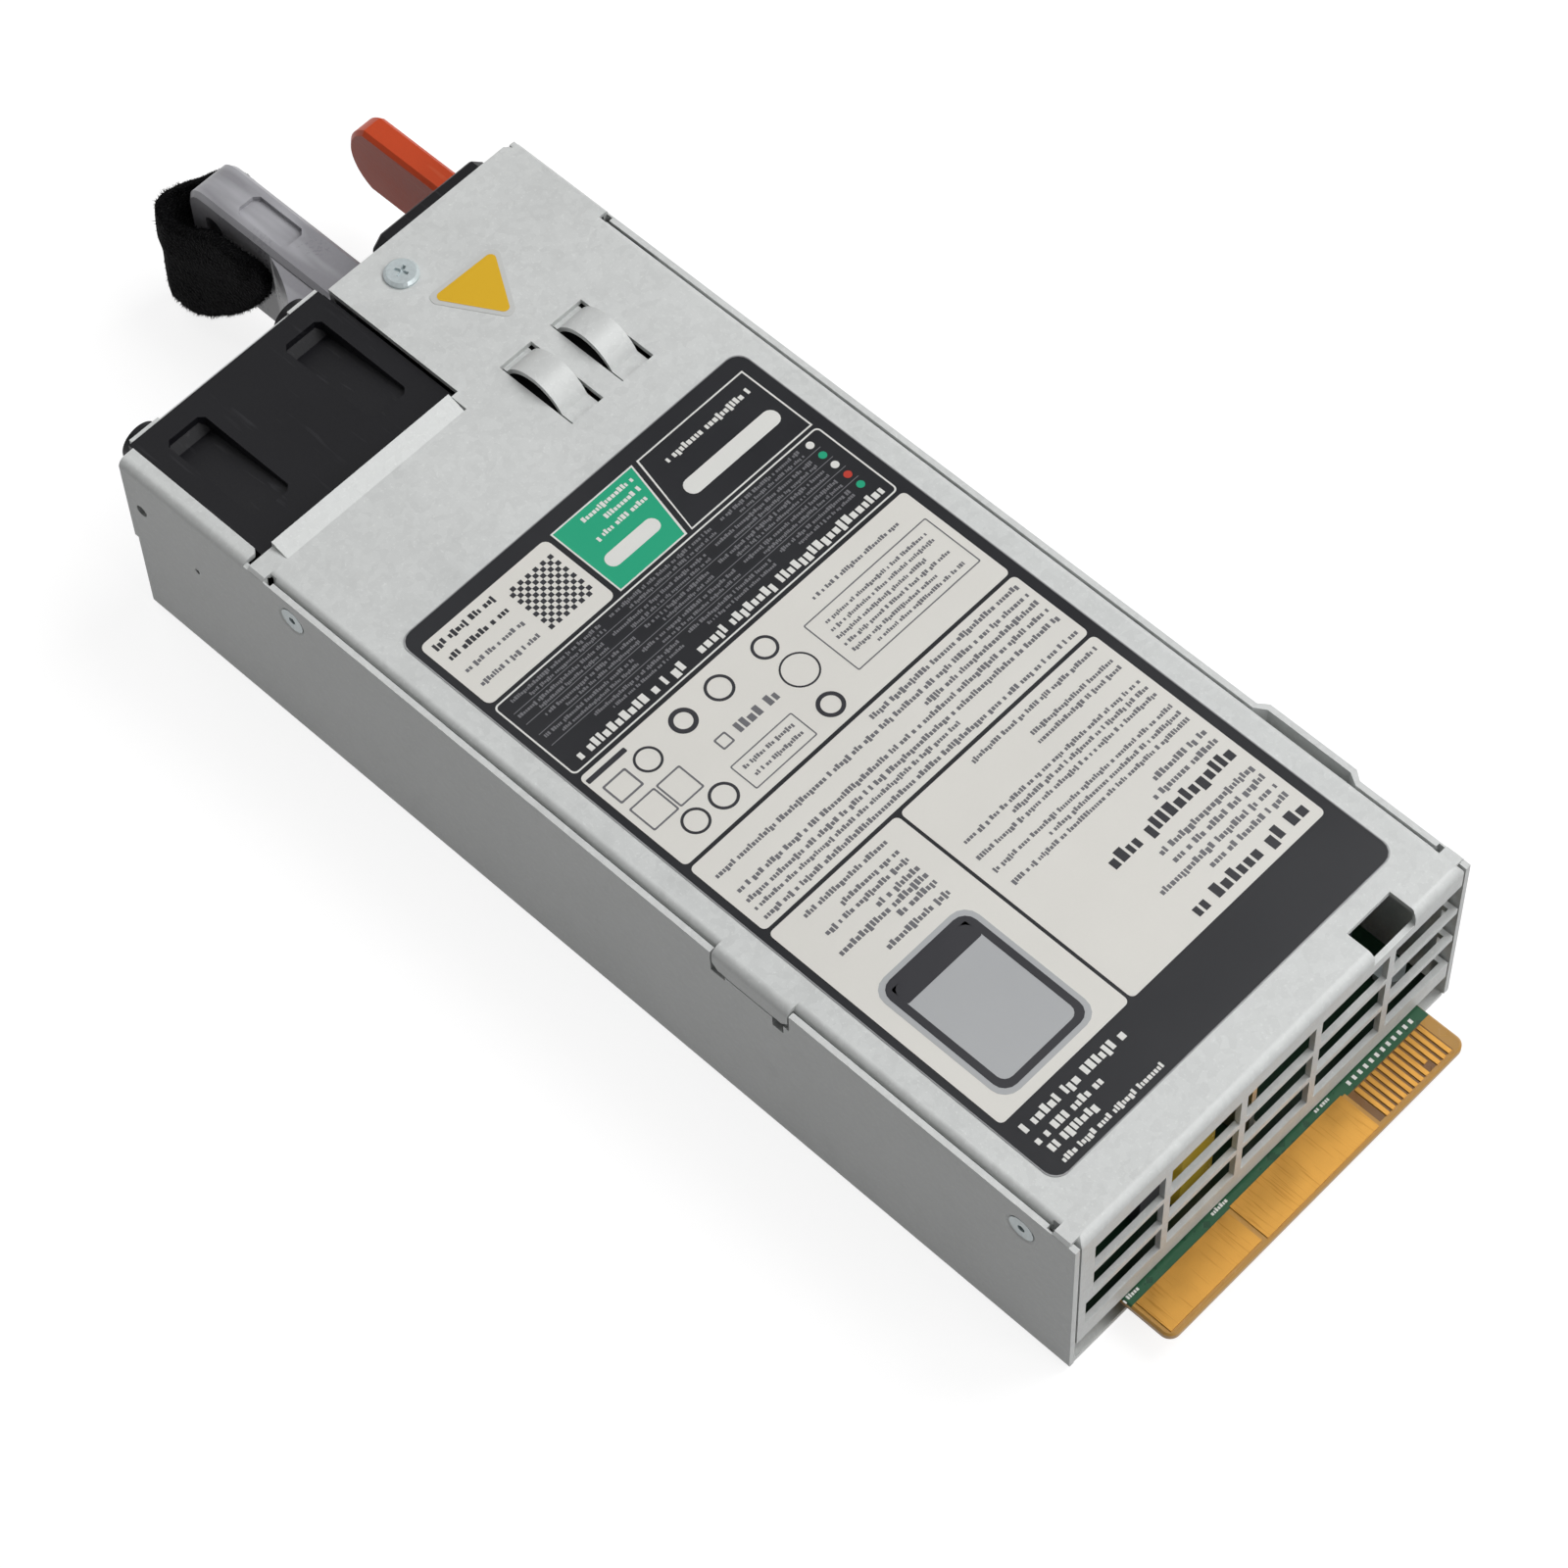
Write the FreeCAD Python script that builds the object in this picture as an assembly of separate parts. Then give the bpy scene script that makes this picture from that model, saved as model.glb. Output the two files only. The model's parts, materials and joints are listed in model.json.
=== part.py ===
import FreeCAD, Part
import math
import os
from FreeCAD import Vector

# Hot swap server power supply, 1U high. X is the width, +Y the output end, +Z up.
# The origin is the centre of the casing's bottom face. All sizes in millimetres.

# driving dimensions of the casing
case_width = 86.0
case_length = 198.5
case_height = 39.0
sheet = 1.0
bend_radius = 1.6
side_bend = 1.2

half_width = case_width / 2
inner_half = half_width - sheet
front_y = -case_length / 2
rear_y = case_length / 2
inner_top = case_height - sheet
wall_top = case_height - 0.7

# corner of the casing that is left open over the mains inlet
inlet_open_x = -1.9
lip_inner_x = 39.75
inlet_open_y = front_y + 28.85

# cover details
flange_depth = 11.0
seam = 0.4
cover_half = inner_half - seam
ramp_rise = 1.2
ramp_length = 3.4
ramp_x = (0.0, 36.8)
louvre_y = (-68.5, -52.5)
louvre_x = (-13.0, -24.1)
louvre_slot_width = 6.9
louvre_strip_width = 5.5
louvre_height = 3.7
louvre_tuck = 1.4
hook_y = (28.4, 43.6)
hook_bottom_z = 34.4
notch_x = (-31.2, -21.6)
notch_y = 93.75
rivet_places = ((-61.0, 33.3), (89.0, 32.0))
rivet_radius = 1.5
screw_xy = (-11.8, -92.8)
screw_head_radius = 2.9
screw_head_height = 0.9
corner_tab_y = ((inlet_open_y + 0.4, inlet_open_y + 3.8), (rear_y - 4.4, rear_y - 1.3))
front_tab_y = (front_y + 0.4, -77.9)
relief_width = 1.3
relief_x = (41.2, 42.7)

# rear grille
grille_right_x = 38.6
grille_columns = 5
grille_rows = 3
grille_pitch_x = 16.35
grille_slot_x = 14.95
grille_top_z = 34.0
grille_pitch_z = 8.07
grille_slot_z = 6.75
grille_bottom_z = 6.9

# main board and its card edge
board_bottom = 4.6
board_thickness = 1.6
board_top = board_bottom + board_thickness
tongue_x = (-35.4, 31.6)
tongue_y = 108.7
pad_thickness = 0.2
finger_pitch = 1.3
finger_count = 12
finger_width = 0.78

# fan, its axis along Y
fan_size = 36.0
fan_depth = 28.0
fan_x = -21.9
fan_z = sheet + fan_size / 2
fan_front_y = -86.2
fan_bore = 17.1
hub_radius = 9.0
blade_radius = 16.6
blade_count = 7
shaft_radius = 1.0
bearing_radius = 2.6
bearing_width = 3.0
running_gap = 0.05

# mains inlet
inlet_x = (-1.4, 39.4)
inlet_top = inner_top - 0.2
inlet_face_y = -101.5
inlet_back_y = inlet_open_y - 0.2
inlet_plate_thickness = 0.6
bezel_y = inlet_face_y + inlet_plate_thickness
lug_front_y = -104.0
lug_radius = 3.6
lug_z = 32.0
lug_x = (2.9, 35.3)
pocket_x = ((2.6, 10.4), (27.6, 35.4))
pocket_y = (-97.0, -76.5)
pocket_depth = (3.0, 1.0)
socket_centre = (19.0, 18.5)
socket_size = (24.4, 16.6)
socket_floor_y = -84.5
blade_spacing = 14.0

# handle
handle_x = (-13.5, -4.7)
handle_z = (9.0, 30.0)
handle_tip_y = -137.6
handle_foot_x = (-13.9, -1.5)
flare_x = 2.8
flare_y = (-117.5, -112.0, -104.4)
handle_foot_z = (6.0, 33.0)
strap_slot_y = (-133.5, -129.5)
strap_slot_z = (11.0, 26.0)

# release latch, turning about Z
pivot_x = -38.8
pivot_y = -89.6
pivot_radius = 1.0
barrel_radius = 2.1
latch_z = (13.9, 25.1)
tab_x = (-38.2, -33.2)
tab_z = (12.2, 26.8)
tab_tip_y = -130.3
neck_y = -105.4
guard_x = (-38.7, -14.2)
guard_front_y = front_y - 3.8
guard_z = (3.0, 36.4)
latch_pocket_x = -30.2

# power train on the main board
bulk_radius = 13.0
bulk_x = (23.5, -5.0)
bulk_y = (-25.0, 15.0)
choke_leg = 5.4
choke_lift = 8.6
heatsink_y = (-33.0, 20.0)
ring_centre = (-27.0, 34.0)
transformer_x = (-12.0, 20.0)
transformer_y = (24.0, 54.0)
transformer_post = (4.0, 39.0)
busbar_y = (78.5, 95.5)

# a cutting block that starts inside ends this far out, clear of the casing
beyond = 50.0


def block(x0, x1, y0, y1, z0, z1):
    """Box between two corners."""
    return Part.makeBox(x1 - x0, y1 - y0, z1 - z0, Vector(x0, y0, z0))


def rod(radius, start, end):
    """Round bar from one point to another."""
    a = Vector(*start)
    b = Vector(*end)
    return Part.makeCylinder(radius, (b - a).Length, a, b - a)


def sided_outline(radius, centre, along, sides):
    """Regular many-sided outline square to a direction."""
    across = Vector(1, 0, 0) if abs(along.x) < 1e-6 else Vector(0, 0, 1)
    up = along.cross(across).normalize()
    corners = []
    for i in range(sides):
        turn = 2 * math.pi * (i + 0.5) / sides
        corners.append(centre + across * (radius * math.cos(turn)) + up * (radius * math.sin(turn)))
    return Part.makePolygon(corners + [corners[0]])


def sided_bar(radius, start, end, sides):
    """Bar with a regular many-sided section from one point to another."""
    a = Vector(*start)
    along = Vector(*end) - a
    return Part.Face(sided_outline(radius, a, along, sides)).extrude(along)


def sided_cone(radius_a, radius_b, start, end, sides):
    """Tapered bar with a regular many-sided section from one point to another."""
    a = Vector(*start)
    b = Vector(*end)
    outlines = [sided_outline(radius_a, a, b - a, sides), sided_outline(radius_b, b, b - a, sides)]
    return Part.makeLoft(outlines, True, True)


def join(shapes):
    """One solid from pieces that touch or overlap."""
    first, *rest = shapes
    if not rest:
        return first
    return first.multiFuse(rest).removeSplitter()


def group(shapes):
    """Separate solids in one part."""
    return Part.makeCompound(list(shapes))


def prism(points, along):
    """Flat outline pushed along a vector."""
    corners = [Vector(*p) for p in points]
    face = Part.Face(Part.makePolygon(corners + [corners[0]]))
    return face.extrude(Vector(*along))


def edges_along(shape, axis):
    """Straight edges parallel to X, Y or Z."""
    found = []
    for edge in shape.Edges:
        if edge.Curve.TypeId != "Part::GeomLine":
            continue
        step = edge.Vertexes[-1].Point - edge.Vertexes[0].Point
        across = [abs(step.x), abs(step.y), abs(step.z)]
        main = across.pop("XYZ".index(axis))
        if main > 1e-6 and max(across) < 1e-6:
            found.append(edge)
    return found


def rounded_block(x0, x1, y0, y1, z0, z1, axis, radius):
    """Box whose four edges along one axis are rounded."""
    solid = block(x0, x1, y0, y1, z0, z1)
    return solid.makeFillet(radius, edges_along(solid, axis))


def bevelled_block(x0, x1, y0, y1, z0, z1, axis, size):
    """Box whose four edges along one axis are bevelled."""
    solid = block(x0, x1, y0, y1, z0, z1)
    return solid.makeChamfer(size, edges_along(solid, axis))


def near(edges, test):
    """Edges whose middle passes a test on x, y, z."""
    return [e for e in edges if test(*e.BoundBox.Center)]


def save(name, shape):
    """Write one node."""
    shape.exportStep("parts/" + name + ".step")


# ---------------------------------------------------------------- casing

def bent_section(half, y0, y1, z0, z1, radius):
    """Solid bar across the casing with rounded long edges."""
    return rounded_block(-half, half, y0, y1, z0, z1, "Y", radius)


def tray_channel():
    """Floor and straight side walls with rounded lower bends."""
    over = 10
    outer = bent_section(half_width, front_y, rear_y, 0, case_height + over, bend_radius)
    inner = block(-inner_half, inner_half, front_y - 1, rear_y + 1, sheet, case_height + over)
    return outer.cut(inner).cut(block(-beyond, beyond, front_y - 1, rear_y + 1, wall_top, beyond))


def front_lip():
    """Short lip bent inwards from the +X wall at the inlet."""
    lip_end = inlet_open_y - 0.6
    outer = bent_section(half_width, front_y, inlet_open_y, 0, case_height, bend_radius)
    inner = block(-inner_half, inner_half, front_y - 1, inlet_open_y + 1, sheet, inner_top)
    lip = outer.cut(inner).common(block(lip_inner_x, beyond, front_y - 1, lip_end, 30, beyond))
    rear_corner = near(edges_along(lip, "Z"), lambda x, y, z: y > lip_end - 0.1 and x < 41)
    return lip.makeChamfer(0.7, rear_corner)


def rivet_hole(side, y, z):
    """Countersunk hole through a side wall and the cover flange behind it."""
    outer = side * (half_width + 0.01)
    dimple = sided_cone(2.9, rivet_radius + 0.1, (outer, y, z), (outer - side * 0.8, y, z), 16)
    return join([dimple, sided_bar(rivet_radius + 0.1, (outer, y, z), (side * 39, y, z), 8)])


def relief_cuts():
    """Small notches where the corner tabs leave the long edges of the cover."""
    spans = [(1, corner_tab_y[0][1]), (1, corner_tab_y[1][0] - relief_width),
             (-1, corner_tab_y[1][0] - relief_width), (-1, front_tab_y[1])]
    cuts = []
    for side, y in spans:
        low, high = sorted((side * relief_x[0], side * relief_x[1]))
        cuts.append(block(low, high, y, y + relief_width, 36.6, beyond))
    return group(cuts)


def hook_windows():
    """Two openings in the +X wall below the ends of the hook tab."""
    return group([block(38, beyond, hook_y[0] - 0.3, hook_y[0] + 2.6, 33.2, hook_bottom_z + 0.1),
                  block(38, beyond, hook_y[1] - 3.1, hook_y[1] - 0.9, 31.9, hook_bottom_z + 0.1)])


def wall_pocket():
    """Lanced bulge in the top of the -X wall, standing out by its own thickness."""
    out = -half_width - 1.2
    plan = [(-half_width, 58.2), (out, 59.8), (out, 76.6), (-half_width, 78.2),
            (-inner_half, 78.2), (out + sheet, 76.2), (out + sheet, 60.2), (-inner_half, 58.2)]
    return prism([(x, y, 30.0) for x, y in plan], (0, 0, wall_top - 30.0))


def base_tray():
    """Floor and both side walls with the short front lip over the +X wall."""
    tray = tray_channel()
    tray = tray.cut(block(half_width - 2, beyond, front_y - 1, inlet_open_y - 0.6, 30, beyond))
    tray = join([tray, front_lip()])
    # lower part of the front edge stands back a little, the floor stops short of the grille
    tray = tray.cut(block(-beyond, beyond, front_y - 1, front_y + 0.8, -1, 19))
    tray = tray.cut(block(-beyond, beyond, rear_y - 0.4, rear_y + 1, -1, sheet))
    for side in (-1, 1):
        for y, z in rivet_places:
            tray = tray.cut(rivet_hole(side, y, z))
    # cut-out and relief notches around the cover's hook tab
    tray = tray.cut(block(inner_half - 0.1, beyond, hook_y[0] - 0.3, hook_y[1] + 0.3, hook_bottom_z - 0.3, beyond))
    tray = tray.cut(hook_windows()).cut(relief_cuts())
    # locating hole and punch mark near the front of the +X wall, and the slot for the latch tooth
    tray = tray.cut(sided_bar(1.15, (41, -95.75, 28.75), (44, -95.75, 28.75), 16))
    tray = tray.cut(sided_bar(0.55, (41, -83.8, 24.0), (44, -83.8, 24.0), 8))
    tray = tray.cut(block(-44, -41, -97.7, -90.6, 14.4, 24.6))
    tray = tray.cut(block(-44, -41, 58.2, 78.2, 30.0, beyond))
    return join([tray, wall_pocket()])


def louvre_strip(x):
    """Arched strip through a slot in the cover, tucked under the sheet at both ends."""
    y0, y1 = louvre_y
    z0 = inner_top - sheet
    rise = louvre_height
    crown = (y0 + y1) / 2 - 1.4
    low = [Vector(x, y0 + 1.0, z0), Vector(x, crown, z0 + rise), Vector(x, y1 - 3.2, z0)]
    top = [Vector(x, y1 - 3.0, z0 + sheet), Vector(x, crown, z0 + rise + sheet), Vector(x, y0 + 0.8, z0 + sheet)]
    start = Vector(x, y0 - louvre_tuck, z0)
    end = Vector(x, y1 + louvre_tuck, z0)
    up = Vector(0, 0, sheet)
    wire = Part.Wire([
        Part.makeLine(start, low[0]), Part.Arc(*low).toShape(), Part.makeLine(low[2], end),
        Part.makeLine(end, end + up), Part.makeLine(end + up, top[0]), Part.Arc(*top).toShape(),
        Part.makeLine(top[2], start + up), Part.makeLine(start + up, start)])
    strip = Part.Face(wire).extrude(Vector(louvre_strip_width, 0, 0))
    strip.translate(Vector(-louvre_strip_width / 2, 0, 0))
    return strip


def cover_ramp():
    """Lip behind the inlet that rises towards the front, with a closed +X end."""
    x0, x1 = ramp_x
    y0 = inlet_open_y + 0.4
    y1 = y0 + ramp_length
    profile = [(y1, inner_top), (y1, case_height), (y0, case_height + ramp_rise),
               (y0 - 0.3, case_height + ramp_rise - 0.9)]
    slope = prism([(x0, y, z) for y, z in profile], (x1 - x0, 0, 0))
    cheek = prism([(x1, y1, inner_top), (x1, y1, case_height), (x1, y0, case_height + ramp_rise),
                   (x1, y0, inner_top)], (0.9, 0, 0))
    return [slope, cheek]


def grille_slots():
    """Slots of the rear grille, three rows of five."""
    slots = []
    for row in range(grille_rows):
        top = grille_top_z - row * grille_pitch_z
        for column in range(grille_columns):
            right = grille_right_x - column * grille_pitch_x
            # the lowest slot beside the +X wall is a little longer
            reach = 1.4 if row == 2 and column == 0 else 0
            slots.append(block(right - grille_slot_x, right + reach, rear_y - 2, rear_y + 1,
                               top - grille_slot_z, top))
    return slots


def cover_skin():
    """Outer form of the cover: long side bends mitred with the bend down to the grille."""
    long_bends = rounded_block(-cover_half, cover_half, front_y, rear_y, 0, case_height, "Y", side_bend)
    rear_bend = block(-half_width, half_width, front_y - 1, rear_y, -1, case_height)
    edge = near(edges_along(rear_bend, "X"), lambda x, y, z: y > 0 and z > inner_top)
    return long_bends.common(rear_bend.makeFillet(bend_radius, edge))


def top_cover():
    """Top sheet with inside flanges and the rear grille bent down from it."""
    skin = cover_skin()
    hollow = block(-cover_half + sheet, cover_half - sheet, front_y - 5, rear_y - sheet, -5, inner_top)
    cover = skin.cut(hollow)
    flange_bottom = inner_top - flange_depth
    cover = cover.cut(block(-beyond, beyond, front_y - 1, inlet_open_y + 4.2, -1, inner_top - 0.01))
    cover = cover.cut(block(-beyond, beyond, inlet_open_y + 4.0, rear_y - 2.2, -1, flange_bottom))
    cover = cover.cut(block(-beyond, beyond, rear_y - 2.3, rear_y + 1, -1, grille_bottom_z))
    # corner tabs that reach out over the side walls, and the tab hooked into the +X wall
    tabs = []
    for side in (-1, 1):
        spans = list(corner_tab_y) if side > 0 else [front_tab_y, corner_tab_y[1]]
        for y0, y1 in spans:
            low, high = sorted((side * (cover_half - 1.4), side * half_width))
            tab = block(low, high, y0, y1, inner_top + 0.4, case_height)
            rim = near(edges_along(tab, "Y"), lambda x, y, z: abs(x) > inner_half and z > inner_top + 0.5)
            tabs.append(tab.makeChamfer(0.5, rim))
    hook = bent_section(half_width, hook_y[0], hook_y[1], 20, case_height, bend_radius)
    hook = hook.cut(block(-beyond, inner_half, 0, 60, 19, inner_top))
    hook = hook.common(block(cover_half - 2, beyond, 0, 60, hook_bottom_z, beyond))
    corners = near(edges_along(hook, "X"), lambda x, y, z: z < hook_bottom_z + 0.1 and x > inner_half)
    hook = hook.makeChamfer(1.3, corners)
    cover = join([cover, hook] + tabs)
    # open corner over the inlet, and the bay of the ramp behind it
    cover = cover.cut(block(inlet_open_x, beyond, front_y - 1, inlet_open_y + 0.4, -1, beyond))
    ramp_end = inlet_open_y + 0.4 + ramp_length
    cover = cover.cut(block(ramp_x[0] - 0.5, ramp_x[1], inlet_open_y - 1, ramp_end, 20, beyond))
    for x in louvre_x:
        half = louvre_slot_width / 2
        cover = cover.cut(block(x - half, x + half, louvre_y[0], louvre_y[1], 30, beyond))
    cover = cover.cut(group(grille_slots()))
    # notch across the rear bend, one corner bevelled
    notch = prism([(notch_x[0], notch_y, 36.2), (notch_x[1], notch_y, 36.2), (notch_x[1], 101, 36.2),
                   (notch_x[0] + 1.4, 101, 36.2), (notch_x[0], 98.2, 36.2)], (0, 0, 10))
    cover = cover.cut(notch)
    for side in (-1, 1):
        for y, z in rivet_places:
            cover = cover.cut(sided_bar(rivet_radius + 0.1, (side * 39, y, z), (side * 43, y, z), 8))
    cover = cover.cut(hook_windows()).cut(relief_cuts())
    cover = cover.cut(sided_bar(1.5, screw_xy + (30,), screw_xy + (beyond,), 12))
    corner = prism([(-beyond, front_y - 1, 30), (-40.9, front_y - 1, 30), (-40.9, front_y, 30),
                    (-cover_half, front_y + 1.2, 30), (-beyond, front_y + 1.2, 30)], (0, 0, 20))
    cover = cover.cut(corner)
    return join([cover] + cover_ramp() + [louvre_strip(x) for x in louvre_x])


def front_panel():
    """Inner front plate with openings for inlet, fan air, handle light and latch."""
    panel = block(-inner_half + 0.05, inner_half - 0.05, front_y, front_y + sheet, sheet, inner_top)
    shelf = block(-40, -3.5, front_y, -88.5, inner_top - sheet, inner_top)
    panel = join([panel, shelf])
    panel = panel.cut(block(-2.0, 39.9, front_y - 1, -97, 4.0, beyond))
    panel = panel.cut(bevelled_block(-30.4, -14.6, front_y - 1, -97, 4.6, 34.6, "Y", 1.5))
    panel = panel.cut(block(-beyond, -31.2, front_y - 1, -97, 13.0, 26.0))
    panel = panel.cut(sided_bar(1.3, screw_xy + (30,), screw_xy + (beyond,), 8))
    panel = panel.cut(sided_bar(1.65, (-9.3, -101, 19.5), (-9.3, -97, 19.5), 16))
    for z in (10.0, 29.0):
        panel = panel.cut(sided_bar(1.25, (-5.0, -101, z), (-5.0, -97, z), 8))
    return panel


def side_rivets():
    """Hollow countersunk rivets through side walls and cover flanges."""
    rivets = []
    for side in (-1, 1):
        for y, z in rivet_places:
            outer = side * (half_width - 0.15)
            head = sided_cone(2.35, rivet_radius, (outer, y, z), (outer - side * 0.6, y, z), 16)
            shank = sided_bar(rivet_radius, (outer - side * 0.6, y, z), (side * 40.0, y, z), 8)
            mandrel = sided_bar(0.7, (outer + side, y, z), (side * 41.0, y, z), 8)
            rivets.append(join([head, shank]).cut(mandrel))
    return group(rivets)


def cover_screw():
    """Cross recess pan head screw into the front panel's shelf."""
    x, y = screw_xy
    head = sided_bar(screw_head_radius, (x, y, case_height), (x, y, case_height + screw_head_height), 24)
    top = [e for e in head.Edges if e.BoundBox.ZMin > case_height + screw_head_height / 2]
    head = head.makeChamfer(0.45, top)
    for turn in (0, 90):
        slot = block(-1.2, 1.2, -0.28, 0.28, 0, 2)
        slot.rotate(Vector(0, 0, 0), Vector(0, 0, 1), turn + 20)
        slot.translate(Vector(x, y, case_height + 0.3))
        head = head.cut(slot)
    return join([head, sided_bar(1.2, (x, y, 34.5), (x, y, case_height + 0.1), 8)])


# ---------------------------------------------------------------- mains inlet

def socket_recess():
    """Plug recess with two bevelled corners, open to the front."""
    cx, cz = socket_centre
    w, h = socket_size[0] / 2, socket_size[1] / 2
    bevel = 4.6
    outline = [(cx - w, cz - h), (cx + w, cz - h), (cx + w, cz + h - bevel), (cx + w - bevel, cz + h),
               (cx - w + bevel, cz + h), (cx - w, cz + h - bevel)]
    recess = prism([(x, -110, z) for x, z in outline], (0, 110 + socket_floor_y, 0))
    return recess


def inlet_lug(x, gap=0.0):
    """Round-topped lug beside the plug recess, or the opening for it when a gap is given."""
    radius = lug_radius + gap
    disc = rod(radius, (x, lug_front_y - gap, lug_z), (x, bezel_y + 0.5, lug_z))
    stem = block(x - radius, x + radius, lug_front_y - gap, bezel_y + 0.5, 27.5 - gap, lug_z)
    return join([disc, stem])


def socket_collar(gap=0.0):
    """Raised rim round the plug recess, or the opening for it when a gap is given."""
    cx, cz = socket_centre
    return bevelled_block(cx - 14.0 - gap, cx + 14.0 + gap, inlet_face_y - 1.2, bezel_y + 0.5,
                          cz - 10.2 - gap, cz + 10.2 + gap, "Y", 2.0)


def top_pocket(x0, x1):
    """Long scooped pocket in the top of the housing, deepest at the front."""
    y0, y1 = pocket_y
    front, back = pocket_depth
    side = [(y0 + 1.5, inlet_top - front), (y1, inlet_top - back), (y1, inlet_top + 4),
            (y0, inlet_top + 4), (y0, inlet_top - front + 1.5)]
    scoop = prism([(x0, y, z) for y, z in side], (x1 - x0, 0, 0))
    corners = edges_along(scoop, "Z")
    return scoop.makeChamfer(0.9, corners)


def inlet_plate():
    """Thin steel earthing plate in front of the inlet with two ears up to the lugs."""
    x0 = inlet_x[0] + 0.5
    x1 = inlet_x[1] - 0.7
    plate = block(x0, x1, inlet_face_y, bezel_y, 29.0, inlet_top - 0.6)
    ears = [block(x0, lug_x[0] + 2.2, inlet_face_y, bezel_y, 30.0, inlet_top + 0.1),
            block(lug_x[1] - 2.6, x1, inlet_face_y, bezel_y, 30.0, inlet_top + 0.1)]
    plate = join([plate] + ears).cut(socket_collar(0.2))
    for x in lug_x:
        plate = plate.cut(inlet_lug(x, 0.3))
    return plate


def inlet_housing():
    """Black moulded housing: body behind the panel, neck through it, bezel with lugs in front."""
    x0, x1 = inlet_x
    body = block(x0, x1, front_y + sheet, inlet_back_y, sheet, inlet_top)
    neck = block(x0 + 0.2, x1 - 0.2, front_y - 0.5, front_y + sheet + 0.5, 4.2, inlet_top)
    bezel = block(x0 + 0.3, x1, bezel_y, front_y, 3.0, inlet_top)
    corners = near(edges_along(bezel, "Y"), lambda x, y, z: z < 10)
    bezel = bezel.makeChamfer(2.0, corners)
    housing = join([body, neck, bezel, socket_collar()] + [inlet_lug(x) for x in lug_x])
    housing = housing.cut(socket_recess())
    housing = housing.cut(block(x0 + 1.8, x1 - 1.8, -82.0, inlet_back_y + 1, 3.0, inlet_top - 4.4))
    for span in pocket_x:
        housing = housing.cut(top_pocket(*span))
    for x, z in blade_places():
        housing = housing.cut(block(x - 2.0, x + 2.0, -85, -81, z - 1.0, z + 1.0))
    return housing


def blade_places():
    """Centres of the line, neutral and earth blades."""
    cx, cz = socket_centre
    return ((cx + blade_spacing / 2, cz + 1.8), (cx - blade_spacing / 2, cz + 1.8), (cx, cz - 2.2))


def inlet_blade(index):
    """Flat contact blade with a bevelled nose; the earth blade is longer."""
    x, z = blade_places()[index]
    nose = -99.6 if index == 2 else -97.6
    blade = block(x - 2.0, x + 2.0, nose, -78.0, z - 1.0, z + 1.0)
    tip = near(edges_along(blade, "X"), lambda ex, ey, ez: ey < nose + 0.1)
    return blade.makeChamfer(0.6, tip)


def inlet_board():
    """Small upright board at the back of the inlet, with two solid leads to the main board."""
    board = block(3.0, 35.0, -78.0, -76.4, sheet + 2.2, 33.0)
    return board


def inlet_leads():
    """Bent copper strips from the inlet board to the main board."""
    leads = []
    for x in (9.0, 29.0):
        run = block(x - 1.5, x + 1.5, -76.4, -66.0, 12.0, 12.8)
        drop = block(x - 1.5, x + 1.5, -66.8, -66.0, board_top, 12.8)
        leads.append(join([run, drop]))
    return group(leads)


# ---------------------------------------------------------------- fan

def fan_point(y):
    """Point on the fan's axis."""
    return (fan_x, y, fan_z)


def fan_frame():
    """Square frame with a round bore, motor plate and four struts at the back."""
    half = fan_size / 2
    back = fan_front_y + fan_depth
    frame = rounded_block(fan_x - half, fan_x + half, fan_front_y, back, sheet, sheet + fan_size, "Y", 2.0)
    frame = frame.cut(sided_bar(fan_bore, fan_point(fan_front_y - 1), fan_point(back + 1), 44))
    for dx in (-1, 1):
        for dz in (-1, 1):
            x = fan_x + dx * (half - 2.6)
            z = fan_z + dz * (half - 2.6)
            frame = frame.cut(sided_bar(1.6, (x, fan_front_y - 1, z), (x, back + 1, z), 8))
    plate = sided_bar(9.2, fan_point(back - 2.2), fan_point(back), 24)
    pieces = [frame, plate]
    for turn in range(4):
        strut = block(fan_x + 6, fan_x + fan_bore + 0.6, back - 2.2, back, fan_z - 0.9, fan_z + 0.9)
        strut.rotate(Vector(*fan_point(0)), Vector(0, 1, 0), 45 + 90 * turn)
        pieces.append(strut)
    pieces.append(sided_bar(3.6, fan_point(fan_front_y + 4.5), fan_point(back), 16))
    return join(pieces).cut(sided_bar(bearing_radius, fan_point(fan_front_y + 4), fan_point(back - 1), 16))


def fan_bearings():
    """Two bearing rings pressed in the frame's centre tube."""
    rings = []
    for y in (fan_front_y + 4.6, fan_front_y + fan_depth - 5.2):
        outside = sided_bar(bearing_radius, fan_point(y), fan_point(y + bearing_width), 16)
        rings.append(outside.cut(rod(shaft_radius + running_gap, fan_point(y - 1), fan_point(y + bearing_width + 1))))
    return group(rings)


def fan_stator():
    """Wound stator stack on the centre tube: a ring with four salient poles."""
    y0 = fan_front_y + 7.0
    y1 = fan_front_y + fan_depth - 4.0
    core = sided_bar(5.2, fan_point(y0), fan_point(y1), 16)
    pieces = [core.cut(sided_bar(3.65, fan_point(y0 - 1), fan_point(y1 + 1), 16))]
    for turn in range(4):
        pole = block(fan_x + 4.6, fan_x + 7.0, y0, y1, fan_z - 1.4, fan_z + 1.4)
        shoe = block(fan_x + 6.2, fan_x + 7.0, y0, y1, fan_z - 2.6, fan_z + 2.6)
        for piece in (pole, shoe):
            piece.rotate(Vector(*fan_point(0)), Vector(0, 1, 0), 90 * turn)
            pieces.append(piece)
    return join(pieces)


def fan_shaft():
    """Steel shaft that turns in the two bearings."""
    return rod(shaft_radius, fan_point(fan_front_y + 2.4), fan_point(fan_front_y + fan_depth - 1.6))


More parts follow.
